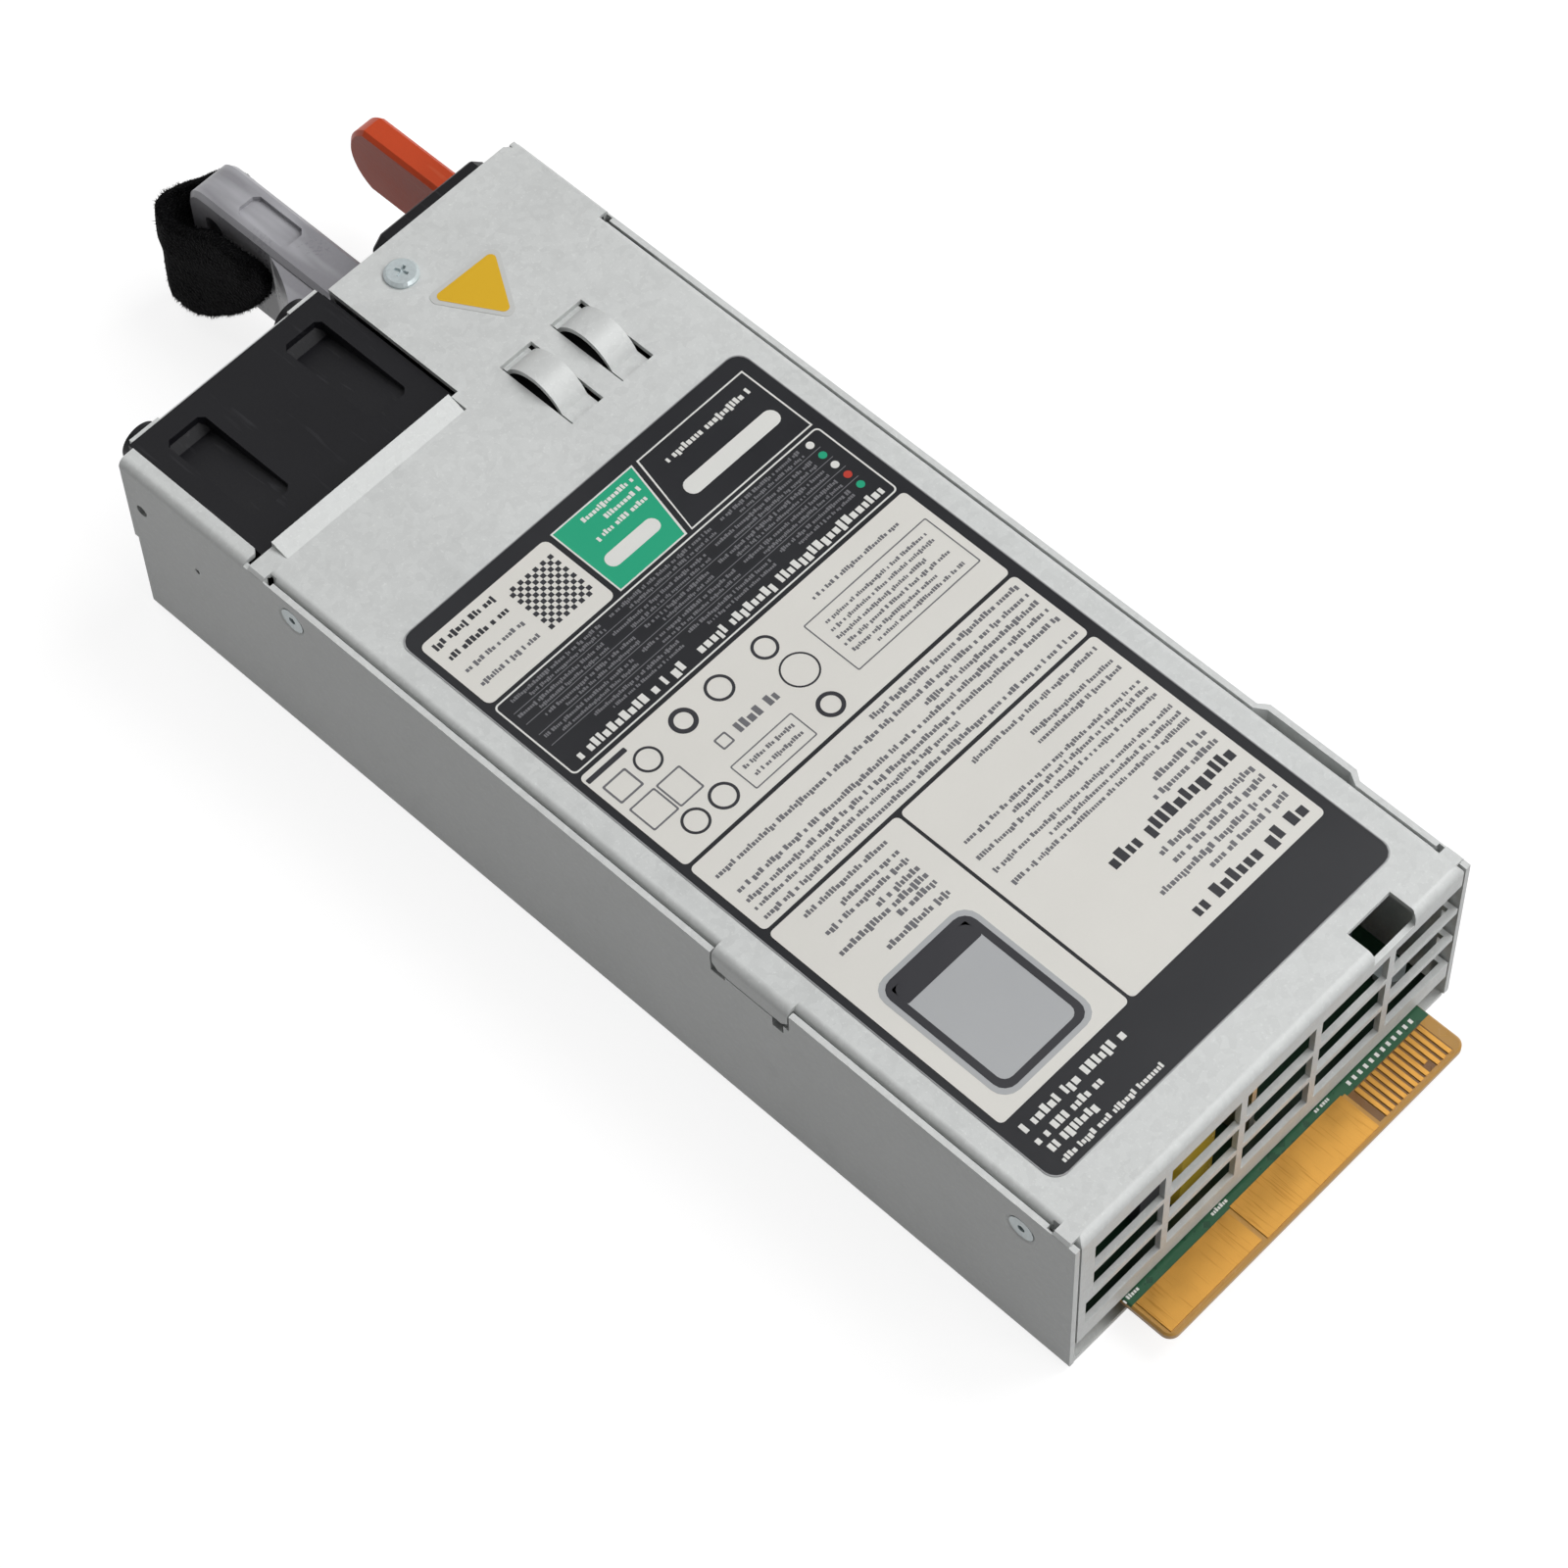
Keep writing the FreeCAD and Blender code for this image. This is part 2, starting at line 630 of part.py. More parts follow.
def blade_section(radius, chord, pitch):
    """Nose, back, tail and belly of a thin blade section that lies on a circle round the axis."""
    section = []
    for along, lift in ((-0.5 * chord, 0.0), (0.0, 0.08 * chord), (0.5 * chord, 0.0), (0.0, 0.1)):
        dx = along * math.cos(pitch) - lift * math.sin(pitch)
        dy = along * math.sin(pitch) + lift * math.cos(pitch)
        section.append(Vector(dx, dy, math.sqrt(radius ** 2 - dx ** 2)))
    return section


def fan_blade(middle):
    """Twisted blade made of flat triangles between its root and tip sections."""
    root = blade_section(hub_radius - 0.6, 13.0, math.radians(58))
    tip = blade_section(blade_radius, 16.0, math.radians(36))
    corners = [(root[0], root[1], root[3]), (root[1], root[2], root[3]),
               (tip[0], tip[3], tip[1]), (tip[1], tip[3], tip[2])]
    # back and belly are split along matching diagonals, so the twist keeps the blade's thickness
    for i in (0, 1):
        corners += [(root[i], tip[i + 1], root[i + 1]), (root[i], tip[i], tip[i + 1])]
    for i in (2, 3):
        j = (i + 1) % 4
        corners += [(root[i], tip[i], root[j]), (root[j], tip[i], tip[j])]
    faces = [Part.Face(Part.makePolygon([a, b, c, a])) for a, b, c in corners]
    blade = Part.Solid(Part.Shell(faces))
    if blade.Volume < 0:
        blade.reverse()
    blade.translate(Vector(fan_x, middle, fan_z))
    return blade


def fan_rotor():
    """Hub cup with seven twisted blades."""
    y0 = fan_front_y + 2.0
    y1 = fan_front_y + fan_depth - 3.4
    hub = sided_bar(hub_radius, fan_point(y0 + 0.8), fan_point(y1), 24)
    nose = sided_cone(hub_radius - 0.8, hub_radius, fan_point(y0), fan_point(y0 + 0.8), 24)
    hub = join([hub, nose])
    hub = hub.cut(sided_bar(7.8, fan_point(y0 + 2.2), fan_point(y1 + 1), 24))
    hub = hub.cut(rod(shaft_radius, fan_point(y0 - 1), fan_point(y0 + 3)))
    pieces = [hub]
    middle = (y0 + y1) / 2
    for turn in range(blade_count):
        blade = fan_blade(middle)
        blade.rotate(Vector(*fan_point(0)), Vector(0, 1, 0), 360.0 / blade_count * turn)
        pieces.append(blade)
    return join(pieces)


def fan_guard():
    """Black bezel in front of the fan with slot rows and a pocket for the latch."""
    guard = bevelled_block(guard_x[0], guard_x[1], guard_front_y, front_y, guard_z[0], guard_z[1], "Y", 2.2)
    rim = near(guard.Edges, lambda x, y, z: y < guard_front_y + 0.1)
    guard = guard.makeChamfer(0.5, rim)
    guard = guard.cut(block(-beyond, latch_pocket_x, guard_front_y - 1, front_y + 1, 12.4, 26.6))
    cuts = []
    slot_height = 2.4
    for row in range(8):
        z = 5.4 + row * 3.72
        beside_latch = z + slot_height > 11.2 and z < 27.8
        left = latch_pocket_x + 1.4 if beside_latch else guard_x[0] + 2.2
        for x0, x1 in ((left, -23.4), (-22.2, guard_x[1] - 1.4)):
            cuts.append(bevelled_block(x0, x1, guard_front_y - 1, front_y + 1, z, z + slot_height, "Y", 0.7))
    return guard.cut(group(cuts))


# ---------------------------------------------------------------- handle, strap, light

def handle_flare():
    """Curved web that widens the arm towards its foot."""
    x1 = handle_x[1]
    low = handle_z[0] + 1.0
    tip_y, belly_y, root_y = flare_y
    tip = Vector(x1, tip_y, low)
    belly = Vector(x1 + 2.2, belly_y, low)
    wide = Vector(flare_x, root_y, low)
    rest = [wide, Vector(handle_foot_x[1], root_y, low), Vector(handle_foot_x[1], front_y - 2.0, low),
            Vector(x1 - 2, front_y - 2.0, low), Vector(x1 - 2, tip_y, low), tip]
    wire = Part.Wire([Part.Arc(tip, belly, wide).toShape()] + Part.makePolygon(rest).Edges)
    return Part.Face(wire).extrude(Vector(0, 0, handle_z[1] - handle_z[0] - 2.0))


def handle():
    """Clear moulded handle arm with a flared foot, a strap slot and shallow panels."""
    x0, x1 = handle_x
    z0, z1 = handle_z
    foot_front = front_y - 2.5
    arm = block(x0, x1, handle_tip_y, foot_front + 0.5, z0, z1)
    tips = near(edges_along(arm, "X"), lambda x, y, z: y < handle_tip_y + 1)
    arm = arm.makeFillet(4.0, tips)
    rims = [e for e in arm.Edges if e.BoundBox.XLength < 0.01 and e.BoundBox.YMin < foot_front]
    arm = arm.makeChamfer(0.8, rims)
    foot = bevelled_block(handle_foot_x[0], handle_foot_x[1], foot_front, front_y,
                          handle_foot_z[0], handle_foot_z[1], "Y", 1.2)
    body = join([arm, handle_flare(), foot])
    body = body.cut(rounded_block(x0 - 5, x1 + 5, strap_slot_y[0], strap_slot_y[1],
                                  strap_slot_z[0], strap_slot_z[1], "X", 1.9))
    # shallow panels in the top edge and in both flanks
    body = body.cut(bevelled_block(x0 + 2.0, x1 - 2.0, -127.5, -116.0, z1 - 0.9, z1 + 2, "Z", 0.9))
    body = body.cut(bevelled_block(x0 - 2, x0 + 0.8, -127.0, -106.0, z0 + 3, z1 - 2.6, "X", 1.5))
    # socket for the status light
    return body.cut(sided_bar(1.6, (-9.3, front_y - 1.5, 19.5), (-9.3, front_y + 1, 19.5), 16))


def handle_screws():
    """Two small screws that hold the handle's foot from behind the panel."""
    screws = []
    for z in (10.0, 29.0):
        head = sided_bar(2.0, (-5.0, front_y + sheet, z), (-5.0, front_y + sheet + 1.3, z), 6)
        shank = sided_bar(1.0, (-5.0, front_y + 0.02, z), (-5.0, front_y + sheet + 0.1, z), 8)
        screws.append(join([head, shank]))
    return group(screws)


def handle_strap():
    """Folded hook-and-loop strap beside the handle arm, a soft pad with rounded corners."""
    x = handle_x[1]
    side = [(-118.0, 23.0), (-117.6, 19.0), (-122.5, 10.5), (-131.0, 4.2), (-139.0, 3.0),
            (-142.0, 8.0), (-142.0, 19.0), (-139.6, 24.0)]
    pad = prism([(x + 0.05, y, z) for y, z in side], (6.2, 0, 0))
    wrap = block(handle_x[0] - 1.6, x + 1.0, handle_tip_y - 2.4, handle_tip_y - 0.05, 12.0, 24.0)
    return join([pad, wrap])


def status_led():
    """Two-colour light between its board and the handle's foot."""
    body = sided_bar(1.45, (-9.3, front_y - 1.2, 19.5), (-9.3, front_y + 2.6, 19.5), 16)
    flange = sided_bar(1.95, (-9.3, front_y + sheet, 19.5), (-9.3, front_y + 2.0, 19.5), 16)
    return join([body, flange])


def led_board():
    """Small upright board behind the front panel."""
    board = block(-14.5, -7.0, front_y + 2.6, front_y + 3.8, sheet, 31.0)
    chip = block(-13.0, -10.0, front_y + 3.8, front_y + 4.8, 10.0, 14.0)
    return join([board, chip])


# ---------------------------------------------------------------- latch

def release_latch():
    """One moulding: barrel on the pin, arm with the tooth, neck and thumb tab."""
    plan = [(-41.2, -92.2), (-41.2, -97.2), (tab_x[0], -102.0), (tab_x[0], -131.0),
            (tab_x[1], -131.0), (tab_x[1], -103.4), (-37.6, -98.2), (-37.6, -92.2)]
    lever = prism([(x, y, tab_z[0]) for x, y in plan], (0, 0, tab_z[1] - tab_z[0]))
    behind = [(0, latch_z[0]), (latch_z[1], 40)]
    for z0, z1 in behind:
        lever = lever.cut(block(-beyond, -30, neck_y, -80, z0, z1))
    # side outline of the thumb tab: a full round nose
    mid_z = (tab_z[0] + tab_z[1]) / 2
    top = Vector(-beyond, -126.2, tab_z[1])
    low = Vector(-beyond, -125.6, tab_z[0])
    nose = Part.Wire([
        Part.makeLine(Vector(-beyond, -80, tab_z[0]), low), Part.Arc(low, Vector(-beyond, tab_tip_y, mid_z), top).toShape(),
        Part.makeLine(top, Vector(-beyond, -80, tab_z[1])),
        Part.makeLine(Vector(-beyond, -80, tab_z[1]), Vector(-beyond, -80, tab_z[0]))])
    lever = lever.common(Part.Face(nose).extrude(Vector(30, 0, 0)))
    rims = [e for e in lever.Edges if e.BoundBox.YMax < -103.0 and e.BoundBox.XLength < 0.01]
    lever = lever.makeChamfer(0.7, [e for e in rims if e.BoundBox.YLength > 2])
    web = block(-41.2, -37.0, -92.4, pivot_y, latch_z[0] + 0.3, 19.8)
    barrel = sided_bar(barrel_radius, (pivot_x, pivot_y, latch_z[0] + 0.3), (pivot_x, pivot_y, 19.8), 16)
    tooth = prism([(-40.6, -96.5, 15.2), (-44.1, -96.2, 15.2), (-44.1, -95.3, 15.2), (-40.6, -92.4, 15.2)],
                  (0, 0, 8.6))
    bore = rod(pivot_radius + running_gap, (pivot_x, pivot_y, 10), (pivot_x, pivot_y, 30))
    return join([lever, web, barrel, tooth]).cut(bore)


def latch_bracket():
    """Steel bracket beside the wall: two ears on a back strip."""
    back = block(-41.95, -36.0, -87.1, -86.55, 12.6, 26.9)
    ears = [block(-41.95, -36.0, -93.0, -86.8, z, z + 0.8) for z in (12.6, 26.1)]
    return join([back] + ears).cut(rod(pivot_radius, (pivot_x, pivot_y, 10), (pivot_x, pivot_y, 30)))


def latch_pin():
    """Pivot pin held in the bracket's ears, with a head at each end."""
    shaft = rod(pivot_radius, (pivot_x, pivot_y, 12.2), (pivot_x, pivot_y, 27.3))
    heads = [sided_bar(1.6, (pivot_x, pivot_y, z), (pivot_x, pivot_y, z + 0.55), 12) for z in (12.0, 26.95)]
    return join([shaft] + heads)


def latch_spring():
    """Torsion spring around the pin, one leg along the arm and one across."""
    coil_radius = 1.55
    wire = 0.5
    pitch = 0.8
    pieces = []
    for turn in range(5):
        z = 20.2 + turn * pitch
        low_end = (pivot_x, pivot_y, z)
        high_end = (pivot_x, pivot_y, z + wire)
        coil = sided_bar(coil_radius + wire / 2, low_end, high_end, 8)
        pieces.append(coil.cut(sided_bar(coil_radius - wire / 2, low_end, high_end, 8)))
    # each turn rises into the next on the side away from the arm
    pieces.append(block(pivot_x - wire / 2, pivot_x + wire / 2, pivot_y + coil_radius - wire / 2,
                        pivot_y + coil_radius + wire / 2, 20.2, 20.2 + 4 * pitch + wire))
    side = pivot_x + coil_radius
    low = block(side - wire / 2, side + wire / 2 - 0.1, -96.0, pivot_y, 20.2, 20.2 + wire)
    high = block(side - wire / 2, side + wire / 2, -94.5, pivot_y, 23.4, 23.4 + wire)
    high.rotate(Vector(side, pivot_y, 23.4), Vector(0, 0, 1), 70)
    return join(pieces + [low, high])


# ---------------------------------------------------------------- boards and contacts

def main_board():
    """Main circuit board with the card edge tongue that runs out under the grille."""
    x0, x1 = tongue_x
    body = block(-40.0, 40.0, -57.0, rear_y - 1.6, board_bottom, board_top)
    nose = block(-1.0, 40.0, -69.5, -57.0, board_bottom, board_top)
    tongue = block(x0, x1, rear_y - 5, tongue_y, board_bottom, board_top)
    corners = near(edges_along(tongue, "Z"), lambda x, y, z: y > rear_y)
    tongue = tongue.makeFillet(1.9, corners)
    lead_in = near(tongue.Edges, lambda x, y, z: y > tongue_y - 0.1)
    tongue = tongue.makeChamfer(0.35, [e for e in lead_in if e.Length > 20])
    board = join([body, nose, tongue])
    for x, y in standoff_places():
        board = board.cut(sided_bar(1.7, (x, y, 0), (x, y, 20), 6))
    return board


def standoff_places():
    """Board fixing points."""
    return ((36.0, -65.0), (36.5, 92.5), (-36.5, 92.5), (-36.5, -53.0), (36.5, 18.0), (-36.5, 18.0))


def board_standoffs():
    """Clinched hexagon spacers on the tray floor."""
    spacers = []
    for x, y in standoff_places():
        spacer = sided_bar(2.9, (x, y, sheet), (x, y, board_bottom), 6)
        spacers.append(spacer.cut(sided_bar(1.35, (x, y, 0), (x, y, 9), 6)))
    return group(spacers)


def board_screws():
    """Hexagon head screws that hold the board on its spacers."""
    screws = []
    for x, y in standoff_places():
        head = sided_bar(2.7, (x, y, board_top), (x, y, board_top + 1.6), 6)
        screws.append(join([head, sided_bar(1.2, (x, y, 2.0), (x, y, board_top + 0.1), 6)]))
    return group(screws)


def insulation_film():
    """Thin insulating sheet on the tray floor under the board."""
    film = block(-40.5, 40.5, -57.5, rear_y - 2.0, sheet, sheet + 0.3)
    for x, y in standoff_places():
        film = film.cut(block(x - 3.3, x + 3.3, y - 3.3, y + 3.3, 0, 9))
    return film


def contact_strip(x0, x1, y0, y1, upper):
    """Gold plated contact on the upper or lower face of the card edge."""
    z = board_top if upper else board_bottom - pad_thickness
    return block(x0, x1, y0, y1, z, z + pad_thickness)


def power_pads():
    """Four wide power contacts, two on each face."""
    spans = ((10.5, 30.6, 101.0, 107.8), (-15.6, 9.6, 100.7, 108.2))
    return group(contact_strip(x0, x1, y0, y1, upper) for upper in (True, False)
                 for x0, x1, y0, y1 in spans)


def signal_fingers():
    """Rows of narrow signal contacts; one is short so that it mates last."""
    strips = []
    for upper in (True, False):
        for i in range(finger_count):
            x = -18.1 - i * finger_pitch
            end = 106.4 if i == 8 else 107.9
            strips.append(contact_strip(x - finger_width / 2, x + finger_width / 2, 101.6, end, upper))
    return group(strips)


def control_board():
    """Upright control board near the output end."""
    return block(-29.0, -5.0, 84.0, 85.6, board_top, 33.5)


def control_chips():
    """Packages on the control board's rear face."""
    chips = []
    for x, z, w, h in ((-24.0, 24.0, 7.0, 7.0), (-12.5, 27.0, 5.0, 4.0), (-13.0, 18.0, 4.0, 5.0),
                       (-24.0, 13.5, 5.0, 4.0)):
        chips.append(block(x - w / 2, x + w / 2, 85.6, 86.8, z - h / 2, z + h / 2))
    return group(chips)


# ---------------------------------------------------------------- power train

def can(x, y, radius, height):
    """Upright capacitor can on a narrower rubber foot."""
    foot = sided_bar(radius - 0.4, (x, y, board_top), (x, y, board_top + 0.8), 8)
    return join([foot, sided_bar(radius, (x, y, board_top + 0.8), (x, y, board_top + height), 16)])


def output_capacitors():
    """Row of upright cans beside the output end."""
    return group(can(x, y, 4.0, 20.0) for x, y in
                 ((35.0, 84.5), (26.0, 84.5), (35.0, 74.5), (26.0, 74.5), (-33.6, 82.0), (-33.6, 72.5)))


def bulk_capacitors():
    """Two large cans lying along Y, with board leads at the rear end."""
    cans = []
    for x in bulk_x:
        centre = board_top + bulk_radius + 0.2
        body = sided_bar(bulk_radius, (x, bulk_y[0], centre), (x, bulk_y[1], centre), 24)
        legs = [block(x + dx - 0.8, x + dx + 0.8, bulk_y[1] - 0.5, bulk_y[1] + 1.4, board_top, centre) for dx in (-5, 5)]
        cans.append(join([body] + legs))
    return group(cans)


def choke_places():
    """Line filter chokes."""
    return ((24.0, -55.5), (24.0, -36.5))


def choke_bases():
    """Moulded bases under the line filter chokes."""
    return group(bevelled_block(x - 9, x + 9, y - 8, y + 8, board_top, board_top + 1.6, "Z", 2.0)
                 for x, y in choke_places())


def choke_windings():
    """Two wound halves on each line filter choke."""
    halves = []
    for x, y in choke_places():
        for side in (-1, 1):
            leg_x = x + side * choke_leg
            leg_z = board_top + choke_lift
            halves.append(sided_bar(3.4, (leg_x, y - 6, leg_z), (leg_x, y + 6, leg_z), 12))
    return group(halves)


def choke_cores():
    """Rectangular ferrite frames through the windings."""
    cores = []
    for x, y in choke_places():
        z = board_top + choke_lift
        sides = (x - choke_leg, x + choke_leg)
        legs = [block(leg - 1.8, leg + 1.8, y - 7.6, y + 7.6, z - 1.8, z + 1.8) for leg in sides]
        yokes = [block(x - 7.2, x + 7.2, y + s * 6.8 - 0.8, y + s * 6.8 + 0.8, board_top + 1.6, z + 1.8)
                 for s in (-1, 1)]
        core = join(legs + yokes)
        for leg in sides:
            core = core.cut(block(leg - 1.9, leg + 1.9, y - 6.0, y + 6.0, z - 1.9, z + 1.9))
        cores.append(core)
    return group(cores)


def film_capacitors():
    """Box film capacitors of the line filter."""
    return group([block(3.0, 12.0, -65.0, -47.0, board_top, board_top + 15.0),
                  block(3.0, 12.0, -43.5, -28.5, board_top, board_top + 14.0)])


def disc_capacitors():
    """Small ceramic discs standing on their leads."""
    discs = []
    for x, y in ((-4.0, -50.0), (-4.0, -44.0), (-4.0, -38.0)):
        disc = sided_bar(3.6, (x - 1.3, y, board_top + 6.0), (x + 1.3, y, board_top + 6.0), 12)
        legs = [block(x - 0.3, x + 0.3, y + s * 2 - 0.3, y + s * 2 + 0.3, board_top, board_top + 5) for s in (-1, 1)]
        discs.append(join([disc] + legs))
    return group(discs)


def line_fuse():
    """Ceramic fuse lying in two end caps."""
    y = -53.0
    tube = sided_bar(2.6, (-30.0, y, board_top + 3.2), (-12.0, y, board_top + 3.2), 16)
    caps = [bevelled_block(x, x + 5.0, y - 3.2, y + 3.2, board_top, board_top + 6.4, "X", 1.0)
            for x in (-31.0, -16.0)]
    return join([tube] + caps)


def inrush_relay():
    """Sealed relay that bridges the inrush limiter."""
    return block(-31.0, -11.0, -47.5, -36.5, board_top, board_top + 15.5)


def primary_heatsink():
    """Upright plate with fins along the -X side of the board."""
    plate = block(-31.5, -29.0, *heatsink_y, board_top, 34.0)
    fins = [block(-38.0, -31.5, *heatsink_y, z, z + 1.2) for z in (12.0, 17.0, 22.0, 27.0, 32.8)]
    return join([plate] + fins)


def power_transistors():
    """Tab packages bolted to the primary heatsink."""
    parts = []
    for y in (-24.0, -8.0, 8.0):
        body = block(-29.0, -24.6, y - 7.5, y + 7.5, 12.0, 30.0)
        legs = [block(-27.2, -26.4, y + s - 0.5, y + s + 0.5, board_top, 12.0) for s in (-5, 0, 5)]
        parts.append(join([body] + legs))
    return group(parts)


def pfc_inductor():
    """Wound ring of the power factor stage, lying flat in a cup."""
    cup = sided_bar(10.4, ring_centre + (board_top,), ring_centre + (board_top + 4.0,), 20)
    return cup.cut(sided_bar(9.3, ring_centre + (board_top + 0.8,), ring_centre + (board_top + 5.0,), 20))


def pfc_winding():
    """Copper winding over the power factor ring core."""
    low = board_top + 0.8
    coil = sided_bar(9.0, ring_centre + (low,), ring_centre + (low + 8.5,), 20)
    return coil.cut(sided_bar(3.4, ring_centre + (low - 1,), ring_centre + (low + 9.0,), 12))


def transformer_core():
    """Ferrite core halves around the main transformer's winding."""
    outer = block(*transformer_x, *transformer_y, board_top + 3.0, board_top + 27.0)
    window = block(transformer_x[0] + 6.0, transformer_x[1] - 6.0, 20.0, 60.0, board_top + 6.5, board_top + 23.5)
    post = sided_bar(5.0, transformer_post + (board_top + 3.0,), transformer_post + (board_top + 27.0,), 16)
    feet = [block(x, x + 3, y, y + 3, board_top, board_top + 3.0) 
            for x in (transformer_x[0], transformer_x[1] - 3) for y in (transformer_y[0], transformer_y[1] - 3)]
    return join([outer.cut(window), post] + feet)


def transformer_winding():
    """Taped winding of the main transformer, round the core's centre post."""
    coil = bevelled_block(-5.8, 13.8, 22.6, 55.4, board_top + 6.8, board_top + 23.2, "Z", 6.0)
    return coil.cut(sided_bar(5.2, transformer_post + (0,), transformer_post + (beyond,), 16))


def resonant_inductor():
    """Block inductor beside the transformer."""
    core = bevelled_block(24.0, 38.0, 24.0, 44.0, board_top, board_top + 22.0, "Z", 1.0)
    groove = block(23.0, 24.6, 30.0, 38.0, board_top + 2, board_top + 20)
    return core.cut(groove)


def secondary_heatsink():
    """Finned block over the synchronous rectifiers."""
    base = block(-20.0, 18.0, 58.0, 62.0, board_top, board_top + 24.0)
    fins = [block(x, x + 1.2, 62.0, 68.5, board_top + 4.0, board_top + 24.0) for x in range(-19, 18, 4)]
    return join([base] + fins)


def rectifier_transistors():
    """Flat packages under the output busbar."""
    return group(block(x - 3.0, x + 3.0, 71.0, 77.0, board_top, board_top + 1.2)
                 for x in (-16.0, -8.0, 0.0, 8.0, 16.0))


def output_inductor():
    """Taped output choke near the grille."""
    return bevelled_block(6.0, 15.5, 81.0, 95.0, board_top, board_top + 24.5, "Z", 1.2)


def output_choke_core():
    """Ferrite clip over the taped output choke."""
    clip = block(16.2, 21.0, 83.0, 93.0, board_top, board_top + 23.0)
    return clip.cut(block(17.5, 22.0, 85.0, 91.0, board_top + 5.0, board_top + 18.0))


def output_busbar():
    """Tinned copper bar that stands on the board, with a turned eye at its top."""
    blade = block(-1.4, -0.4, *busbar_y, board_top, board_top + 18.0)
    foot = block(-3.4, -0.4, *busbar_y, board_top, board_top + 1.0)
    ends = ((-1.4, 91.0, board_top + 19.5), (-0.4, 91.0, board_top + 19.5))
    eye = sided_bar(2.6, *ends, 16).cut(sided_bar(1.6, *ends, 12))
    return join([blade, foot, eye])


# ---------------------------------------------------------------- labels

def rating_label():
    """Large label on the cover."""
    return rounded_block(-37.1, 36.9, -43.5, 90.25, case_height, case_height + 0.12, "Z", 2.6)


def marker_sticker():
    """Small plain triangular marker."""
    corners = [(-11.0, -86.2), (-18.2, -74.0), (-25.6, -85.8)]
    return prism([(x, y, case_height) for x, y in corners], (0, 0, 0.12))


def main():
    """Build every node and write it."""
    os.makedirs("parts", exist_ok=True)
    makers = [
        base_tray, top_cover, front_panel, side_rivets, cover_screw, inlet_housing, inlet_plate, inlet_board,
        inlet_leads, fan_frame, fan_bearings, fan_stator, fan_shaft, fan_rotor, fan_guard, handle,
        handle_screws, handle_strap, status_led, led_board, release_latch, latch_bracket, latch_pin,
        latch_spring, main_board, board_standoffs, board_screws, insulation_film, power_pads,
        signal_fingers, control_board, control_chips, output_capacitors, bulk_capacitors,
        choke_bases, choke_windings, choke_cores, film_capacitors, disc_capacitors, line_fuse,
        inrush_relay, primary_heatsink, power_transistors, pfc_inductor, pfc_winding,
        transformer_core, transformer_winding, resonant_inductor, secondary_heatsink,
        rectifier_transistors, output_inductor, output_choke_core, output_busbar, rating_label,
        marker_sticker]
    for maker in makers:
        save(maker.__name__, maker())
    for index, name in enumerate(("line_blade", "neutral_blade", "earth_blade")):
        save(name, inlet_blade(index))


main()
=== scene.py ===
import json
import math
import bpy
import numpy as np
from mathutils import Matrix, Vector


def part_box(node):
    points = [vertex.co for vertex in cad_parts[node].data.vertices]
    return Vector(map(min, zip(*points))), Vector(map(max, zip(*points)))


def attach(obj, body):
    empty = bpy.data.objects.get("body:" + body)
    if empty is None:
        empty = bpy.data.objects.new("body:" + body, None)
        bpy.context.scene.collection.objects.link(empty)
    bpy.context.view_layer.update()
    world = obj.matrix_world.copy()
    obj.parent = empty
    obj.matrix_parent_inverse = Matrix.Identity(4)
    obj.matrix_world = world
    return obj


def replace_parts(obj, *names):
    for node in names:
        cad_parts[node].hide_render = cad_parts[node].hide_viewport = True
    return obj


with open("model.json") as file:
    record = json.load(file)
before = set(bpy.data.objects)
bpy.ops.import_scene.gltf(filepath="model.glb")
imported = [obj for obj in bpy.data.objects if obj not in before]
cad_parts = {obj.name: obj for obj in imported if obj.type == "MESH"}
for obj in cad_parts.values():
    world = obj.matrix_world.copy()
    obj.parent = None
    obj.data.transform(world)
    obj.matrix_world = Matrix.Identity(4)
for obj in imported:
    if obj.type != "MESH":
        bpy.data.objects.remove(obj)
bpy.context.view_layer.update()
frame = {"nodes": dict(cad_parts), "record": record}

mm = 0.001
print("frame loaded", len(frame["nodes"]), "nodes")


# tones: eight bit screen values to the linear values a shader takes
def tone(red, green, blue):
    screen = np.array([red, green, blue]) / 255
    linear = np.where(screen <= 0.04045, screen / 12.92, ((screen + 0.055) / 1.055) ** 2.4)
    return tuple(float(c) for c in linear) + (1.0,)


# short ways to place and link shader nodes
def addNode(tree, kind, **settings):
    node = tree.nodes.new(kind)
    for name, value in settings.items():
        setattr(node, name, value)
    return node


def feed(tree, socket, value):
    # a socket is linked, anything else is set as the socket's own value
    if isinstance(value, bpy.types.NodeSocket):
        tree.links.new(value, socket)
    elif value is not None:
        socket.default_value = value


def feedAll(tree, node, values):
    for name, value in values.items():
        feed(tree, node.inputs[name], value)


def feedNamed(tree, node, values):
    # sockets are given by their names with the blanks left out
    sockets = {s.name.replace(" ", ""): s for s in node.inputs}
    for name, value in values.items():
        feed(tree, sockets[name], value)


def placeOf(tree, kind="Object"):
    return addNode(tree, "ShaderNodeTexCoord").outputs[kind]


def axesOf(tree, vector):
    node = addNode(tree, "ShaderNodeSeparateXYZ")
    feed(tree, node.inputs[0], vector)
    return node.outputs


def mathNode(tree, operation, a, b=None, clamp=False):
    node = addNode(tree, "ShaderNodeMath", operation=operation, use_clamp=clamp)
    feed(tree, node.inputs[0], a)
    feed(tree, node.inputs[1], b)
    return node.outputs[0]


def times(tree, a, b):
    return mathNode(tree, "MULTIPLY", a, b)


def plus(tree, a, b, clamp=False):
    return mathNode(tree, "ADD", a, b, clamp)


